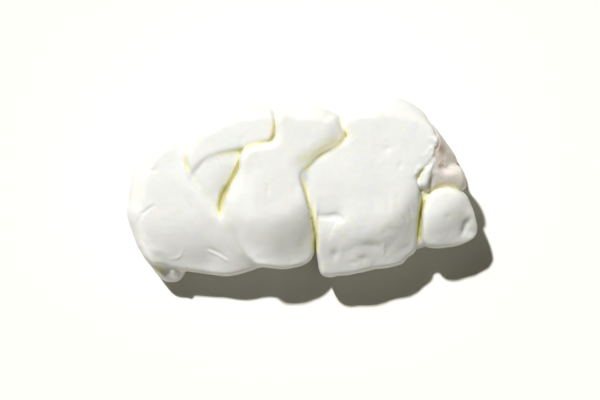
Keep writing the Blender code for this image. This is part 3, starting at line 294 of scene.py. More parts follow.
def plan_of(name):
    """In plan, on the grid: how far inside a pad's outline, how round its rim is, and how far it has sagged."""
    if name in PLANS:
        return PLANS[name]
    rows = closed(PADS[name]["outline"])
    count = np.ceil((HIGH - LOW) / CELL).astype(int) + 1
    gx, gy = np.meshgrid(*[LOW[i] + CELL * np.arange(count[i]) for i in range(2)], indexing="ij")
    near = (gx > rows[:, 0].min() - 9) & (gx < rows[:, 0].max() + 9) & (gy > rows[:, 1].min() - 9) & (gy < rows[:, 1].max() + 9)
    px, py = gx[near], gy[near]
    best = np.full(len(px), np.inf)
    rest = np.zeros((len(px), 3))
    inside = np.zeros(len(px), bool)
    for p, q in zip(rows, np.roll(rows, -1, 0)):
        d = q[:2] - p[:2]
        share = np.clip(((px - p[0]) * d[0] + (py - p[1]) * d[1]) / (d @ d), 0, 1)
        far = np.hypot(px - p[0] - share * d[0], py - p[1] - share * d[1])
        closer = far < best
        best[closer] = far[closer]
        rest[closer] = (p[2:] + share[:, None] * (q[2:] - p[2:]))[closer]
        if p[1] != q[1]:
            inside ^= ((p[1] > py) != (q[1] > py)) & (px < p[0] + (py - p[1]) / (q[1] - p[1]) * d[0])
    spot = np.stack([px, py, np.full(len(px), 7.7)], 1)
    deep = np.full(gx.shape, -9.0)
    wide = np.full(gx.shape, 5.0)
    deep[near] = np.where(inside, best, -best) + rest[:, 1] + rest[:, 2] * (0.8 * lumps(spot, 2.6, 3) + 0.5 * lumps(spot, 1.3, 4))
    wide[near] = rest[:, 0]
    fall = np.zeros(gx.shape)
    for shape, line in SAGS.get(name, ()):
        line = np.array(line)
        chord = np.concatenate([[0.0], np.cumsum(np.linalg.norm(np.diff(line[:, :2], axis=0), axis=1))])
        past, share = beside(line[:, :2], spot)
        reach, steep = (np.interp(share * chord[-1], chord, line[:, k]) for k in (2, 3))
        fall[near] += reach * steep * sagging(np.maximum(past / reach, 0), shape)
    narrow = min(p[2] for p in PADS[name]["outline"]) < 2.5
    deep = blur_plan(deep, max(1, round((0.5 if narrow else 0.8) / CELL)))
    wide = blur_plan(wide, max(1, round((0.6 if narrow else 1.5) / CELL)))
    fall = blur_plan(fall, max(1, round(1.3 / CELL)))
    PLANS[name] = deep, wide, fall
    return PLANS[name]


def read_plan(values, x):
    """The plan grid's values at points x."""
    p = (x[:, :2] - LOW[:2]) / CELL
    i = np.clip(np.floor(p).astype(int), 0, np.array(values.shape) - 2)
    f = np.clip(p - i, 0, 1)
    low = values[i[:, 0], i[:, 1]] * (1 - f[:, 0]) + values[i[:, 0] + 1, i[:, 1]] * f[:, 0]
    high = values[i[:, 0], i[:, 1] + 1] * (1 - f[:, 0]) + values[i[:, 0] + 1, i[:, 1] + 1] * f[:, 0]
    return low * (1 - f[:, 1]) + high * f[:, 1]


def from_pad(name, x):
    """Distance of points x from a pad's surface, negative inside."""
    pad = PADS[name]
    deep, wide, fall = (read_plan(v, x) for v in plan_of(name))
    level, along_x, along_y, curve_x, curve_y = pad["top"]
    dx, dy = (x[:, k] - np.mean([q[k] for q in pad["outline"]]) for k in (0, 1))
    girth = pad["girth"]
    top = level + along_x * dx + along_y * dy - curve_x * dx**2 / 2 - curve_y * dy**2 / 2 - fall
    up = x[:, 2] - girth
    above = up > 0
    tall = np.where(above, np.maximum(top - girth, 1.5), girth + PRESS)
    wide = np.where(above, wide, pad["foot"])
    u, v = np.maximum(0, 1 - deep / wide), np.abs(up) / tall
    p = pad["round"]
    rho = np.maximum((u**p + v**p) ** (1 / p), 1e-3)
    slope = np.hypot(u ** (p - 1) / wide, v ** (p - 1) / tall) / rho ** (p - 1)
    return np.clip((rho - 1) / np.maximum(slope, 0.02), -9, 9)


def smooth_path(stations):
    """Evenly spaced rows along the natural cubic spline through the stations, and how far along each is."""
    rows = np.array(stations, float)
    chord = np.linalg.norm(np.diff(rows[:, :3], axis=0), axis=1)
    at = np.concatenate([[0.0], np.cumsum(chord)])
    wanted = np.linspace(0.0, at[-1], max(3, int(at[-1] / STEP) + 1))
    last = len(at) - 1
    if last == 1:
        share = (wanted / at[-1])[:, None]
        return rows[0] * (1 - share) + rows[1] * share, wanted
    left = np.eye(last + 1)
    right = np.zeros_like(rows)
    for i in range(1, last):
        left[i, i - 1 : i + 2] = chord[i - 1], 2 * (chord[i - 1] + chord[i]), chord[i]
        right[i] = 6 * ((rows[i + 1] - rows[i]) / chord[i] - (rows[i] - rows[i - 1]) / chord[i - 1])
    bend = np.linalg.solve(left, right)
    i = np.clip(np.searchsorted(at, wanted, side="right") - 1, 0, last - 1)
    a = (at[i + 1] - wanted)[:, None]
    b = (wanted - at[i])[:, None]
    h = chord[i][:, None]
    return (
        (bend[i] * a**3 + bend[i + 1] * b**3) / (6 * h)
        + (rows[i] / h - bend[i] * h / 6) * a
        + (rows[i + 1] / h - bend[i + 1] * h / 6) * b
    ), wanted


def soft_least(a, b, k):
    """The smaller of two values, rounded where they are within k of each other."""
    h = np.clip(0.5 + 0.5 * (b - a) / k, 0, 1)
    return b * (1 - h) + a * h - k * h * (1 - h)


def from_lobe(name, x):
    """Distance of points x from a lobe's surface, negative inside; how far along it they are; the angle round it."""
    lobe = LOBES[name]
    rows, at = smooth_path(lobe["stations"])
    centre = rows[:, :3]
    depth = np.full(len(rows), float(lobe["depth"])) if "depth" in lobe else rows[:, 2] + PRESS
    sizes = np.column_stack([rows[:, 3:], depth])
    along = np.gradient(centre, axis=0)
    along /= np.linalg.norm(along, axis=1)[:, None]
    side = np.cross((0.0, 0.0, 1.0), along)
    side /= np.linalg.norm(side, axis=1)[:, None]
    up = np.cross(along, side)
    single = x.astype(np.float32)
    square = (single**2).sum(1)
    best = np.full(len(x), np.inf, np.float32)
    nearest = np.zeros(len(x), np.int32)
    for k in range(len(centre)):
        d = square - single @ (2 * centre[k]).astype(np.float32) + np.float32((centre[k] ** 2).sum())
        closer = d < best
        best[closer] = d[closer]
        nearest[closer] = k
    gap = at[1] - at[0]
    ahead = ((x - centre[nearest]) * along[nearest]).sum(1) / gap
    after = np.clip(nearest + np.where(ahead > 0, 1, -1), 0, len(centre) - 1)
    f = np.where(after == nearest, 0, np.clip(np.abs(ahead), 0, 1))[:, None]

    def mix(q):
        return q[nearest] * (1 - f) + q[after] * f

    off = x - mix(centre)
    ax, across, height = ((off * mix(q)).sum(1) for q in (along, side, up))
    size = mix(sizes)
    first = nearest == 0
    past = first & (ax < 0) | (nearest == len(centre) - 1) & (ax > 0)
    slope = np.where(first[:, None], (sizes[1] - sizes[0]) / gap, (sizes[-1] - sizes[-2]) / gap)
    grown = size + np.where(past, ax, 0)[:, None] * slope * TAPER_ON
    size = np.maximum(grown, size / 2)
    w = np.where(across > 0, size[:, 0], size[:, 1])
    h = np.where(height > 0, size[:, 2], size[:, 3])
    cap = np.where(first, *map(float, lobe["ends"]))
    q, p = lobe["plan"], lobe["dome"]
    plan = (np.abs(across / w) ** q + np.where(past, np.abs(ax / cap) ** q, 0)) ** (1 / q)
    rho = (plan**p + np.abs(height / h) ** p) ** (1 / p)
    dist = np.sqrt(across**2 + height**2 + np.where(past, ax**2, 0))
    d = dist - np.where(rho > 1e-6, dist / np.maximum(rho, 1e-6), np.minimum(w, h))
    return d, at[nearest] + ahead * gap, np.arctan2(height / h, across / w)


def lumps(x, size, seed):
    """Smooth noise of points x, about -1 to 1, with lumps of that size."""
    p = np.asarray(x, float) / size
    cell = np.floor(p).astype(np.int64)
    f = p - cell
    ease = f * f * f * (f * (f * 6 - 15) + 10)
    total = np.zeros(len(p))
    for i in (0, 1):
        for j in (0, 1):
            for k in (0, 1):
                c = cell + (i, j, k)
                code = (c[:, 0] * 73856093) ^ (c[:, 1] * 19349663) ^ (c[:, 2] * 83492791) ^ (seed * 26544357)
                code &= 0xFFFFFFFF
                code = ((code ^ (code >> 15)) * 739982445) & 0xFFFFFFFF
                code = ((code ^ (code >> 12)) * 695872825) & 0xFFFFFFFF
                code ^= code >> 15
                push = np.stack([(code >> s & 1023) / 511.5 - 1 for s in (0, 10, 20)], 1)
                near = np.where((i, j, k), ease, 1 - ease).prod(1)
                total += near * (push * (f - (i, j, k))).sum(1)
    return total * 1.6


def blur(values, r, times=1):
    """Box blur over r cells each way."""
    for _ in range(times):
        for axis in range(3):
            pad = [(0, 0)] * 3
            pad[axis] = (r + 1, r)
            total = np.cumsum(np.pad(values, pad, mode="edge"), axis=axis, dtype=np.float64)
            n = values.shape[axis]
            a, b = [slice(None)] * 3, [slice(None)] * 3
            a[axis], b[axis] = slice(2 * r + 1, 2 * r + 1 + n), slice(0, n)
            values = ((total[tuple(a)] - total[tuple(b)]) / (2 * r + 1)).astype(np.float32)
    return values


def read(values, x):
    """The grid's values at points x."""
    p = (x - LOW) / CELL
    i = np.clip(np.floor(p).astype(int), 0, np.array(values.shape) - 2)
    f = p - i
    total = 0
    for a in (0, 1):
        for b in (0, 1):
            for c in (0, 1):
                w = np.where((a, b, c), f, 1 - f).prod(1)
                total = total + w * values[i[:, 0] + a, i[:, 1] + b, i[:, 2] + c]
    return total


def beside(line, x):
    """Distance of points x in plan from a line of points, positive on its right, and the share of the line passed."""
    line = np.array(line, float)
    lengths = np.linalg.norm(np.diff(line, axis=0), axis=1)
    start = np.concatenate([[0.0], np.cumsum(lengths)])
    best = np.full(len(x), np.inf)
    signed = np.zeros(len(x))
    share = np.zeros(len(x))
    for k, (p, q) in enumerate(zip(line, line[1:])):
        d = (q - p) / lengths[k]
        off = x[:, :2] - p
        t = np.clip(off @ d, 0, lengths[k])
        gap = off - t[:, None] * d
        far = np.hypot(gap[:, 0], gap[:, 1])
        closer = far < best
        best[closer] = far[closer]
        right = off[:, 0] * d[1] - off[:, 1] * d[0] > 0
        signed[closer] = np.where(right, far, -far)[closer]
        share[closer] = ((start[k] + t) / start[-1])[closer]
    return signed, share


def box_of(name, count):
    if name in PADS:
        rows = closed(PADS[name]["outline"])
        a = np.floor((np.array((*(rows[:, :2].min(0) - 6), LOW[2])) - LOW) / CELL).astype(int)
        b = np.ceil((np.array((*(rows[:, :2].max(0) + 6), HIGH[2])) - LOW) / CELL).astype(int) + 1
        return np.maximum(a, 0), np.minimum(b, count)
    rows = np.array(LOBES[name]["stations"], float)
    reach = rows[:, 3:].max() + 4
    a = np.maximum(np.floor((rows[:, :3].min(0) - reach - LOW) / CELL).astype(int), 0)
    b = np.minimum(np.ceil((rows[:, :3].max(0) + reach - LOW) / CELL).astype(int) + 1, count)
    return a, b


def slices(a, b):
    return tuple(slice(a[i], b[i]) for i in range(3))


def points_of(axes, a, b):
    return np.stack(np.meshgrid(*[axes[i][a[i] : b[i]] for i in range(3)], indexing="ij"), -1).reshape(-1, 3)


def loaf():
    """The loaf's field on the grid: negative inside."""
    count = np.ceil((HIGH - LOW) / CELL).astype(int) + 1
    axes = [LOW[i] + CELL * np.arange(count[i]) for i in range(3)]
    names = (*PADS, *LOBES)
    box = {name: box_of(name, count) for name in names}
    dist = {}
    for name, (a, b) in box.items():
        x = points_of(axes, a, b)
        d = from_pad(name, x) if name in PADS else from_lobe(name, x)[0]
        dist[name] = d.astype(np.float32).reshape(b - a)

    def shared(one, two):
        a, b = np.maximum(box[one][0], box[two][0]), np.minimum(box[one][1], box[two][1])
        return [slices(a, b)] + [dist[n][slices(a - box[n][0], b - box[n][0])] for n in (one, two)]

    field = np.full(count, 8.0, np.float32)
    for name in names:
        sl = slices(*box[name])
        field[sl] = np.minimum(field[sl], dist[name])
    for one, two, k in SOFT:
        sl, d1, d2 = shared(one, two)
        field[sl] = np.minimum(field[sl], soft_least(d1, d2, k))

    groove = np.zeros_like(field)
    for (one, two), (deep, wide) in CREASES.items():
        sl, d1, d2 = shared(one, two)
        g = deep * np.exp(-np.abs(d1 - d2) / wide - np.maximum(np.maximum(d1, d2) - field[sl] - 1.5, 0) / 1.5)
        groove[sl] = np.maximum(groove[sl], g)
    field = np.clip(field + groove, -6, 6)
    flat = points_of(axes, np.zeros(3, int), np.array((*count[:2], 1)))
    cut = np.zeros(len(flat))
    for line, wide, deep in CUTS:
        off, share = beside(line, flat)
        long = np.linalg.norm(np.diff(line, axis=0), axis=1).sum()
        cut += deep * np.clip(np.minimum(share, 1 - share) * long / 3 + 0.1, 0, 1) * np.exp(-((off / wide) ** 2))
    high = np.clip((axes[2] - 10) / 5, 0, 1)
    field += (cut.reshape(count[0], count[1], 1) * high).astype(np.float32)
    field = blur(field, 1)
    ground = np.broadcast_to(axes[2].astype(np.float32), field.shape)
    return -soft_least(-field, ground, FOOT).astype(np.float32)


def nets(field):
    """Quads over the surface where the field is 0, facing its positive side."""
    inside = field < 0
    nx, ny, nz = field.shape
    total = np.zeros((nx - 1, ny - 1, nz - 1), np.uint8)
    corners = [(i, j, k) for i in (0, 1) for j in (0, 1) for k in (0, 1)]
    for i, j, k in corners:
        total += inside[i : nx - 1 + i, j : ny - 1 + j, k : nz - 1 + k]
    cells = (total > 0) & (total < 8)
    index = -np.ones(cells.shape, np.int64)
    at = np.argwhere(cells)
    index[cells] = np.arange(len(at))
    summed = np.zeros((len(at), 3))
    crossings = np.zeros(len(at))
    value = {c: field[at[:, 0] + c[0], at[:, 1] + c[1], at[:, 2] + c[2]] for c in corners}
    for one in corners:
        for axis in range(3):
            if one[axis]:
                continue
            two = tuple(1 if i == axis else v for i, v in enumerate(one))
            m = (value[one] < 0) != (value[two] < 0)
            point = np.tile(np.array(one, float), (m.sum(), 1))
            point[:, axis] = value[one][m] / (value[one][m] - value[two][m])
            summed[m] += point
            crossings[m] += 1
    points = (at + summed / crossings[:, None]) * CELL + LOW
    quads = []
    for axis in range(3):
        here, there = [slice(1, -1)] * 3, [slice(1, -1)] * 3
        here[axis], there[axis] = slice(0, field.shape[axis] - 1), slice(1, field.shape[axis])
        a, b = inside[tuple(here)], inside[tuple(there)]
        e = np.argwhere(a != b)
        turned = ~a[e[:, 0], e[:, 1], e[:, 2]]
        back = np.array([1, 1, 1])
        back[axis] = 0
        e = e + back
        u, w = np.zeros(3, int), np.zeros(3, int)
        u[(axis + 1) % 3] = w[(axis + 2) % 3] = 1
        quad = np.stack([index[tuple(g.T)] for g in (e - u - w, e - w, e, e - u)], 1)
        quad[turned] = quad[turned][:, ::-1]
        quads.append(quad)
    return points, np.concatenate(quads)


def outer_shell(points, quads):
    """The largest connected shell, without shells sealed inside it."""
    label = np.arange(len(points))
    edges = np.concatenate([quads[:, [i, (i + 1) % 4]] for i in range(4)])
    while True:
        least = np.minimum(label[edges[:, 0]], label[edges[:, 1]])
        new = label.copy()
        np.minimum.at(new, edges[:, 0], least)
        np.minimum.at(new, edges[:, 1], least)
        np.minimum.at(new, label[edges[:, 0]], least)
        np.minimum.at(new, label[edges[:, 1]], least)
        new = new[new[new]]
        if (new == label).all():
            break
        label = new
    names, counts = np.unique(label, return_counts=True)
    keep = label == names[counts.argmax()]
    number = np.cumsum(keep) - 1
    return points[keep], number[quads[keep[quads].all(1)]]


# Marks drawn on the skin, in plan: a line, half its width, and how far the skin goes in there (out, if negative).
MARKS = [
    ([(-37.4, -23.7), (-33.0, -25.8), (-28.8, -28.3)], 0.55, -0.45),
    ([(-37.8, -22.7), (-33.2, -24.8), (-29.2, -27.2)], 0.7, 0.25),
    ([(-46.7, -23.1), (-48.2, -25.8), (-50.2, -27.8)], 0.5, -0.22),
    ([(-53.6, -27.4), (-50.5, -26.9), (-47.5, -26.1)], 0.5, -0.22),
    ([(-57.6, -5.6), (-60.6, -7.2), (-62.0, -8.6), (-64.3, -9.4)], 0.6, 0.35),
    ([(-62.6, -9.6), (-64.6, -11.6), (-64.8, -14.0)], 0.5, 0.22),
    ([(-63.5, -18.0), (-60.0, -24.0), (-55.5, -27.6)], 0.6, 0.25),
    ([(-13.5, 2.8), (-13.3, -1.8)], 0.6, 0.22),
    ([(42.3, -5.4), (43.4, -10.5)], 0.6, 0.20),
    ([(44.4, -5.8), (45.3, -9.4)], 0.6, 0.20),
    ([(40.0, -9.4), (41.6, -12.6)], 0.6, 0.20),
    ([(32.2, -20.8), (32.5, -25.4)], 0.7, -0.3),
    ([(-51.6, -31.4), (-50.2, -35.6)], 1.0, -0.8),
    ([(33.8, -3.0), (34.2, -9.0)], 0.7, 0.16),
    ([(37.2, -1.0), (37.4, -8.0)], 0.7, 0.16),
]

# Dents: centre in plan, half its size along X and Y, depth.
DENTS = [
    (-58.3, 8.1, 1.1, 0.8, 0.30), (33.7, 16.5, 1.6, 1.1, 0.30), (38.5, 9.7, 1.0, 1.6, 0.30),
    (57.7, -10.3, 1.2, 0.9, 0.25), (12.9, -25.6, 1.4, 2.2, 0.6), (26.9, -21.9, 4.5, 1.8, 0.6),
    (24.5, -27.1, 1.6, 1.2, 0.4), (36.0, -15.9, 3.4, 2.0, 0.4), (-55.4, -32.2, 1.6, 1.2, 0.2),
    (20.5, -28.5, 1.6, 0.8, 0.3), (-16.0, -27.0, 4.0, 1.4, 0.25), (-2.6, 30.0, 3.0, 2.0, 0.2),
    (56.2, 15.4, 2.6, 3.6, 0.9), (55.6, 9.0, 1.6, 1.2, 0.8), (59.8, 7.0, 3.2, 2.6, -0.7), (-32.0, -25.0, 6.0, 3.0, 0.3),
]

# The line along which the right end has torn, from the back to the front.
RIDGE = [(53.6, 24.0), (54.0, 18.5), (53.1, 14.6), (50.8, 10.6), (47.6, 6.6), (46.0, 1.0)]

# The fold in front: the skin steps down to this line from the back and up again past it.
FOLD = [(6.0, -9.9), (10.5, -10.2), (13.6, -9.7), (15.4, -10.8), (17.0, -12.4)]


def skin(x, out):
    """How far each point of the surface moves outward: unevenness, dents and marks of the hand that plaited it."""
    upward = np.clip((out[:, 2] + 0.15) / 0.35, 0, 1) * np.clip((x[:, 2] - 3) / 3, 0, 1)
    move = 0.24 * lumps(x, 13.0, 11) + 0.08 * lumps(x, 6.0, 12) + 0.045 * lumps(x, 2.6, 13) + 0.025 * lumps(x, 1.2, 14)
    front = np.clip((x[:, 0] - 8) / 6, 0, 1) * np.clip((-12 - x[:, 1]) / 5, 0, 1)
    move += front * (0.15 * lumps(x, 4.5, 15) + 0.06 * lumps(x, 2.0, 16))
    for line, wide, deep in MARKS:
        off, share = beside(line, x)
        fade = np.clip(np.minimum(share, 1 - share) * 5 + 0.15, 0, 1)
        move -= upward * deep * fade * np.exp(-((off / wide) ** 2))
    for cx, cy, rx, ry, deep in DENTS:
        move -= upward * deep * np.exp(-(((x[:, 0] - cx) / rx) ** 2) - ((x[:, 1] - cy) / ry) ** 2)
    off, share = beside(FOLD, x)
    fade = upward * np.clip((1 - share) * 3.5, 0, 1) * np.clip(share * 40, 0, 1) * np.exp(-((np.maximum(off, 0) / 9.0) ** 2))
    behind = off < 0
    move -= fade * np.where(behind, 1.0 * np.exp(off / 3.0), 0.35 + 0.65 * np.exp(-off / 4.0))
    off, share = beside(RIDGE, x)
    torn = np.exp(-(((off - 1.6) / 2.2) ** 2)) * np.clip(np.minimum(share, 1 - share) * 6, 0, 1) * np.clip((x[:, 2] - 22) / 5, 0, 1)
    move += torn * (0.55 * lumps(x, 2.8, 21) + 0.35 * lumps(x, 1.5, 22))
    return move


def facing(field, x):
    """The way the surface faces at points x."""
    n = np.stack([read(field, x + d) - read(field, x - d) for d in np.eye(3) * CELL * 1.5], 1)
    return n / np.maximum(np.linalg.norm(n, axis=1), 1e-9)[:, None]


def make_mesh():
    field = loaf()
    points, quads = outer_shell(*nets(field))
    out = facing(field, points)
    on_ground = np.clip(points[:, 2] / 1.5, 0, 1)
    moved = points + out * (skin(points, out) * on_ground)[:, None]
    moved[:, 2] = np.maximum(moved[:, 2], points[:, 2].min())
    mesh = bpy.data.meshes.new("cheese")
    mesh.from_pydata(moved.tolist(), [], quads.tolist())
    mesh.update()
    piece = bpy.data.objects.new("cheese", mesh)
    bpy.context.scene.collection.objects.link(piece)
    triangles = 2 * len(quads)
    if triangles > MOST_TRIANGLES:
        thin = piece.modifiers.new("Thin", "DECIMATE")
        thin.ratio = MOST_TRIANGLES / triangles
        thin.use_collapse_triangulate = True
        evaluated = piece.evaluated_get(bpy.context.evaluated_depsgraph_get())
        thinned = bpy.data.meshes.new_from_object(evaluated)
        piece.modifiers.clear()
        piece.data = thinned
        bpy.data.meshes.remove(mesh)
        mesh = thinned
    mesh.name = "cheese"
    co = np.zeros(len(mesh.vertices) * 3)
    mesh.vertices.foreach_get("co", co)
    co = co.reshape(-1, 3)

    # Attributes that the material reads.
    # How enclosed each point is, from the blurred solid: the material turns this into painted shade and painted glow in
    # the creases.
    inside = (field < 0).astype(np.float32)
    near = blur(inside, max(1, round(0.8 / CELL)), 3)
    wide = blur(inside, max(1, round(2.2 / CELL)), 3)
    lifted = co + facing(field, co) * 0.3
    narrow_enclosure = np.clip((read(near, lifted) - 0.46) / 0.22, 0, 1)
    wide_enclosure = np.clip((read(wide, lifted) - 0.50) / 0.22, 0, 1)
    first = np.full(len(co), np.inf)
    second = np.full(len(co), np.inf)
    owner = np.zeros(len(co), int)
    strand = np.zeros((len(co), 3))
    names = (*PADS, *LOBES)
    distances = {}
    for number, name in enumerate(names):
        if name in PADS:
            d = distances[name] = from_pad(name, co)
            run = np.array(PADS[name]["grain"]) / np.hypot(*PADS[name]["grain"])
            spot = np.stack([co[:, :2] @ run, co[:, :2] @ (run[1], -run[0]), co[:, 2] + 40.0 * number], 1)
        else:
            d, along, angle = from_lobe(name, co)
            distances[name] = d
            girth = np.array(LOBES[name]["stations"], float)[:, 3:6].mean()
            spot = np.stack([along, angle * girth, np.full(len(co), 40.0 * number)], 1)
        closer = d < first
        owner[closer] = number
        strand[closer] = spot[closer]
        first = np.minimum(first, d)
    crease = np.zeros(len(co))
    for one, two in CREASES:
        far = np.maximum(distances[one], distances[two]) - first
        crease = np.maximum(crease, np.exp(-np.maximum(far - 0.4, 0) / 1.1))
    whole = np.min([distances[name] for name in names if name not in TORN], 0)
    past_ridge = np.clip((whole - np.min([distances[name] for name in TORN], 0)) / 0.8, 0, 1) * np.clip((co[:, 2] - 4) / 6, 0, 1)
    stain_and_shade = np.zeros(len(co))
    for cx, cy, rx, ry, much in STAINS_AND_SHADE:
        stain_and_shade = np.maximum(stain_and_shade, much * np.exp(-(((co[:, 0] - cx) / rx) ** 2) - ((co[:, 1] - cy) / ry) ** 2))
    # Whey, painted glow and painted shade along the listed lines, faded out near the ground.
    whey = np.zeros(len(co))
    for line, wide, much in WHEY_AND_SHADE_LINES:
        off, share = beside(line, co)
        whey = np.maximum(whey, much * np.exp(-((off / wide) ** 2)) * np.clip(np.minimum(share, 1 - share) * 6 + 0.2, 0, 1))
    whey *= np.clip((co[:, 2] - 6) / 4, 0, 1)
    for name, values in (
        ("whey", whey),
        ("enclosure_shade", np.maximum(narrow_enclosure, 0.8 * wide_enclosure)),
        ("crease", crease),
        ("torn", past_ridge),
        ("brown_and_shade", stain_and_shade * past_ridge),
    ):
        mesh.attributes.new(name, "FLOAT", "POINT").data.foreach_set("value", values.astype(np.float32))
    mesh.attributes.new("strand", "FLOAT_VECTOR", "POINT").data.foreach_set("vector", (strand * MM).astype(np.float32).ravel())

    # Into the solid's box, in metres.
    low, high = (np.array(c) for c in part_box("braid"))
    margin = 0.00003
    span = (high - low - (2 * margin, 2 * margin, margin)) / (co.max(0) - co.min(0))
    co = (co - co.min(0)) * span + low + (margin, margin, 0)
    mesh.vertices.foreach_set("co", co.ravel())
    mesh.polygons.foreach_set("use_smooth", np.ones(len(mesh.polygons), bool))
    mesh.update()
    return piece


def put(tree, kind, place, **inputs):
    """A node with its inputs and properties set. An input may be a number, a colour or another node's output."""
    node = tree.nodes.new(kind)
    node.location = place
    for key, value in inputs.items():
        name = key.replace("_", " ")
        if name in node.inputs or key.startswith("in"):
            socket = node.inputs[int(key[2:])] if key.startswith("in") and key[2:].isdigit() else node.inputs[name]
            if isinstance(value, bpy.types.NodeSocket):
                tree.links.new(value, socket)
            else:
                socket.default_value = value
        else:
            setattr(node, key, value)
    return node


def mixed(tree, place, share, one, two, blend="MIX"):
    node = tree.nodes.new("ShaderNodeMix")
    node.data_type = "RGBA"
    node.blend_type = blend
    node.location = place
    for socket, value in ((node.inputs[0], share), (node.inputs[6], one), (node.inputs[7], two)):
        if isinstance(value, bpy.types.NodeSocket):
            tree.links.new(value, socket)
        else:
            socket.default_value = value
    return node.outputs[2]


def ramp(tree, place, value, *stops):
    """Maps a value through (position, level) stops."""
    node = tree.nodes.new("ShaderNodeValToRGB")
    node.location = place
    node.color_ramp.interpolation = "EASE"
    ends = node.color_ramp.elements
    ends[0].position, ends[1].position = stops[0][0], stops[-1][0]
    ends[0].color, ends[1].color = ((*[s[1]] * 3, 1) for s in (stops[0], stops[-1]))
    for at, level in stops[1:-1]:
        ends.new(at).color = (level, level, level, 1)
    tree.links.new(value, node.inputs["Fac"])
    return node.outputs["Color"]


def math_node(tree, place, kind, a, b=0.0, clamp=False):
    node = tree.nodes.new("ShaderNodeMath")
    node.operation = kind
    node.use_clamp = clamp
    node.location = place
    for socket, value in zip(node.inputs, (a, b)):
        if isinstance(value, bpy.types.NodeSocket):
            tree.links.new(value, socket)
        else:
            socket.default_value = value
    return node.outputs[0]


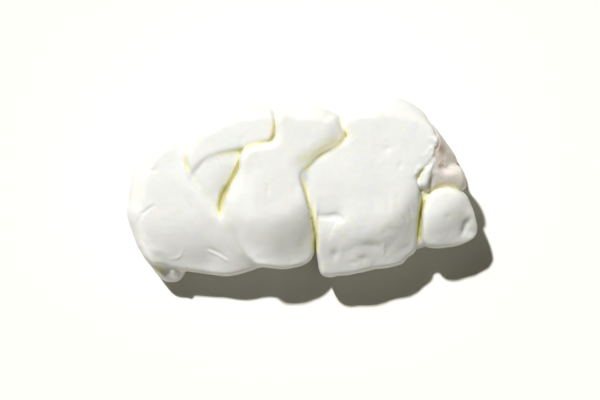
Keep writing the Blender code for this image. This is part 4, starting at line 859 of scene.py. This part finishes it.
def cheese_material():
    cheese = bpy.data.materials.new("fresh_cheese")
    cheese.use_nodes = True
    t = cheese.node_tree
    shader = t.nodes["Principled BSDF"]
    shader.location = (900, 0)
    t.nodes["Material Output"].location = (1200, 0)

    place = put(t, "ShaderNodeTexCoord", (-1500, 0)).outputs["Object"]
    enclosure_shade = put(t, "ShaderNodeAttribute", (-1500, -300), attribute_name="enclosure_shade").outputs["Fac"]
    crease = put(t, "ShaderNodeAttribute", (-1500, -500), attribute_name="crease").outputs["Fac"]
    whey_and_shade_lines = put(t, "ShaderNodeAttribute", (-1500, -600), attribute_name="whey").outputs["Fac"]
    torn = put(t, "ShaderNodeAttribute", (-1500, -700), attribute_name="torn").outputs["Fac"]
    brown_and_shade = put(t, "ShaderNodeAttribute", (-1500, -900), attribute_name="brown_and_shade").outputs["Fac"]
    strand = put(t, "ShaderNodeAttribute", (-1500, -1100), attribute_name="strand").outputs["Vector"]

    clouds = put(t, "ShaderNodeTexNoise", (-1200, 300), Vector=place, Scale=55.0, Detail=3.0, Roughness=0.5).outputs["Fac"]
    mottle = put(t, "ShaderNodeTexNoise", (-1200, 100), Vector=place, Scale=240.0, Detail=3.0, Roughness=0.55).outputs["Fac"]
    stretched = put(t, "ShaderNodeMapping", (-1250, -1100), Vector=strand)
    stretched.inputs["Scale"].default_value = (60.0, 620.0, 300.0)
    fibres = put(t, "ShaderNodeTexNoise", (-1000, -1100), Vector=stretched.outputs["Vector"], Scale=1.0, Detail=3.0, Roughness=0.6).outputs["Fac"]
    grain = put(t, "ShaderNodeTexNoise", (-1000, -1350), Vector=place, Scale=1500.0, Detail=2.0, Roughness=0.6).outputs["Fac"]

    # Colour: near white, a little warmer in patches; yellow in the creases, partly whey and partly a painted glow of
    # light scattered between the strands, going to painted shade in the deepest crevices.
    white = mixed(t, (-800, 300), ramp(t, (-1000, 300), clouds, (0.35, 0.0), (0.65, 1.0)), (0.785, 0.80, 0.79, 1), (0.81, 0.815, 0.797, 1))
    white = mixed(t, (-600, 300), ramp(t, (-1000, 100), mottle, (0.40, 0.0), (0.75, 0.5)), white, (0.77, 0.78, 0.752, 1))
    # How deep in an enclosed crease each point is: it paints shade and glow into the colour here, and wets the skin
    # below.
    crease_enclosure = math_node(t, (-1000, -350), "MULTIPLY", math_node(t, (-1150, -350), "MULTIPLY", enclosure_shade, 0.8), crease)
    whey = math_node(t, (-800, -350), "ADD", crease_enclosure, whey_and_shade_lines, clamp=True)
    # Pale yellow: whey, and a painted glow of light scattered between the strands.
    whey_and_glow = mixed(t, (-300, 250), ramp(t, (-600, -200), whey, (0.02, 0.0), (0.45, 0.9)), white, (0.86, 0.845, 0.56, 1))
    # Dark olive where the crease mask and the crevice lines are strongest: painted shade deep in the crevices.
    deep = mixed(t, (-100, 250), ramp(t, (-600, -400), whey, (0.45, 0.0), (0.95, 0.9)), whey_and_glow, (0.57, 0.53, 0.22, 1))

    # The torn end has dried a little: pink, and brown stains that in the hollow behind the bulge also serve as painted
    # shade.
    flecks = put(t, "ShaderNodeTexNoise", (-1000, -750), Vector=place, Scale=420.0, Detail=4.0, Roughness=0.65).outputs["Fac"]
    dried = math_node(t, (-600, -700), "MULTIPLY", torn, ramp(t, (-800, -750), flecks, (0.30, 0.45), (0.75, 0.8)))
    dry = mixed(t, (100, 200), dried, deep, (0.70, 0.63, 0.59, 1))
    stained = mixed(t, (300, 200), math_node(t, (-400, -850), "MULTIPLY", brown_and_shade, ramp(t, (-800, -950), flecks, (0.38, 0.2), (0.62, 1.0))), dry, (0.42, 0.29, 0.20, 1))
    t.links.new(stained, shader.inputs["Base Color"])

    # Roughness: moist satin, wetter in the creases.
    rough = ramp(t, (100, -100), mottle, (0.35, 0.46), (0.70, 0.60))
    t.links.new(math_node(t, (400, -100), "MULTIPLY_ADD", crease_enclosure, -0.12), shader.inputs["Roughness"])
    t.links.new(rough, shader.inputs["Roughness"].links[0].from_node.inputs[2])
    shader.inputs["Specular IOR Level"].default_value = 0.26
    shader.inputs["Subsurface Weight"].default_value = 0.75
    shader.inputs["Subsurface Radius"].default_value = (1.0, 0.85, 0.55)
    shader.inputs["Subsurface Scale"].default_value = 0.003

    # Bump: soft curd lumps, stretch lines along each strand, fine grain.
    soft = put(t, "ShaderNodeTexNoise", (-200, -500), Vector=place, Scale=420.0, Detail=2.0, Roughness=0.5).outputs["Fac"]
    bump = put(t, "ShaderNodeBump", (100, -500), Strength=0.35, Distance=0.00025, Height=soft)
    bump = put(t, "ShaderNodeBump", (300, -500), Strength=0.35, Distance=0.00018, Height=fibres, Normal=bump.outputs["Normal"])
    bump = put(t, "ShaderNodeBump", (500, -500), Strength=0.25, Distance=0.00006, Height=grain, Normal=bump.outputs["Normal"])
    t.links.new(bump.outputs["Normal"], shader.inputs["Normal"])
    return cheese


piece = make_mesh()
piece.data.materials.append(cheese_material())
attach(piece, "root")
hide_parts("braid")


def plain(name, colour):
    m = bpy.data.materials.new(name)
    m.use_nodes = True
    shader = m.node_tree.nodes["Principled BSDF"]
    shader.inputs["Base Color"].default_value = colour
    shader.inputs["Roughness"].default_value = 1.0
    shader.inputs["Specular IOR Level"].default_value = 0.0
    return m


# Plain pale floor.
side = 4.0
floor_mesh = bpy.data.meshes.new("floor")
floor_mesh.from_pydata([(-side, -side, 0), (side, -side, 0), (side, side, 0), (-side, side, 0)], [], [(0, 1, 2, 3)])
floor = bpy.data.objects.new("floor", floor_mesh)
floor.data.materials.append(plain("floor", (0.97, 0.96, 0.905, 1)))
bpy.context.scene.collection.objects.link(floor)

# Camera straight above.
HEIGHT = 0.9
camera = bpy.data.objects.new("camera", bpy.data.cameras.new("camera"))
bpy.context.scene.collection.objects.link(camera)
camera.data.sensor_width = 36
camera.data.clip_start = 0.01
camera.data.lens = 18 / (0.12 / (HEIGHT - 0.016))
camera.location = (-0.00051, -0.00413, HEIGHT)
bpy.context.scene.camera = camera

# One broad lamp from the back left, a weak low one from the front right, and soft light from all round.
sun = bpy.data.objects.new("sun", bpy.data.lights.new("sun", "SUN"))
bpy.context.scene.collection.objects.link(sun)
lift = math.radians(56)
shine = Vector((0.53 * math.cos(lift), -0.85 * math.cos(lift), -math.sin(lift)))
sun.rotation_mode = "QUATERNION"
sun.rotation_quaternion = shine.to_track_quat("-Z", "Y")
sun.data.energy = 3.95
sun.data.angle = math.radians(3)
sun.data.color = (1.0, 0.99, 0.97)
fill = bpy.data.objects.new("fill", bpy.data.lights.new("fill", "SUN"))
bpy.context.scene.collection.objects.link(fill)
fill.rotation_mode = "QUATERNION"
fill.rotation_quaternion = Vector((-0.40, 0.91, -0.15)).to_track_quat("-Z", "Y")
fill.data.energy = 0.22
fill.data.angle = math.radians(50)
fill.data.color = (1.0, 0.95, 0.78)
world = bpy.data.worlds.new("studio")
bpy.context.scene.world = world
world.use_nodes = True
world.node_tree.nodes["Background"].inputs[0].default_value = (1.0, 0.93, 0.62, 1)
world.node_tree.nodes["Background"].inputs[1].default_value = 0.048
bpy.context.scene.view_settings.view_transform = "Standard"
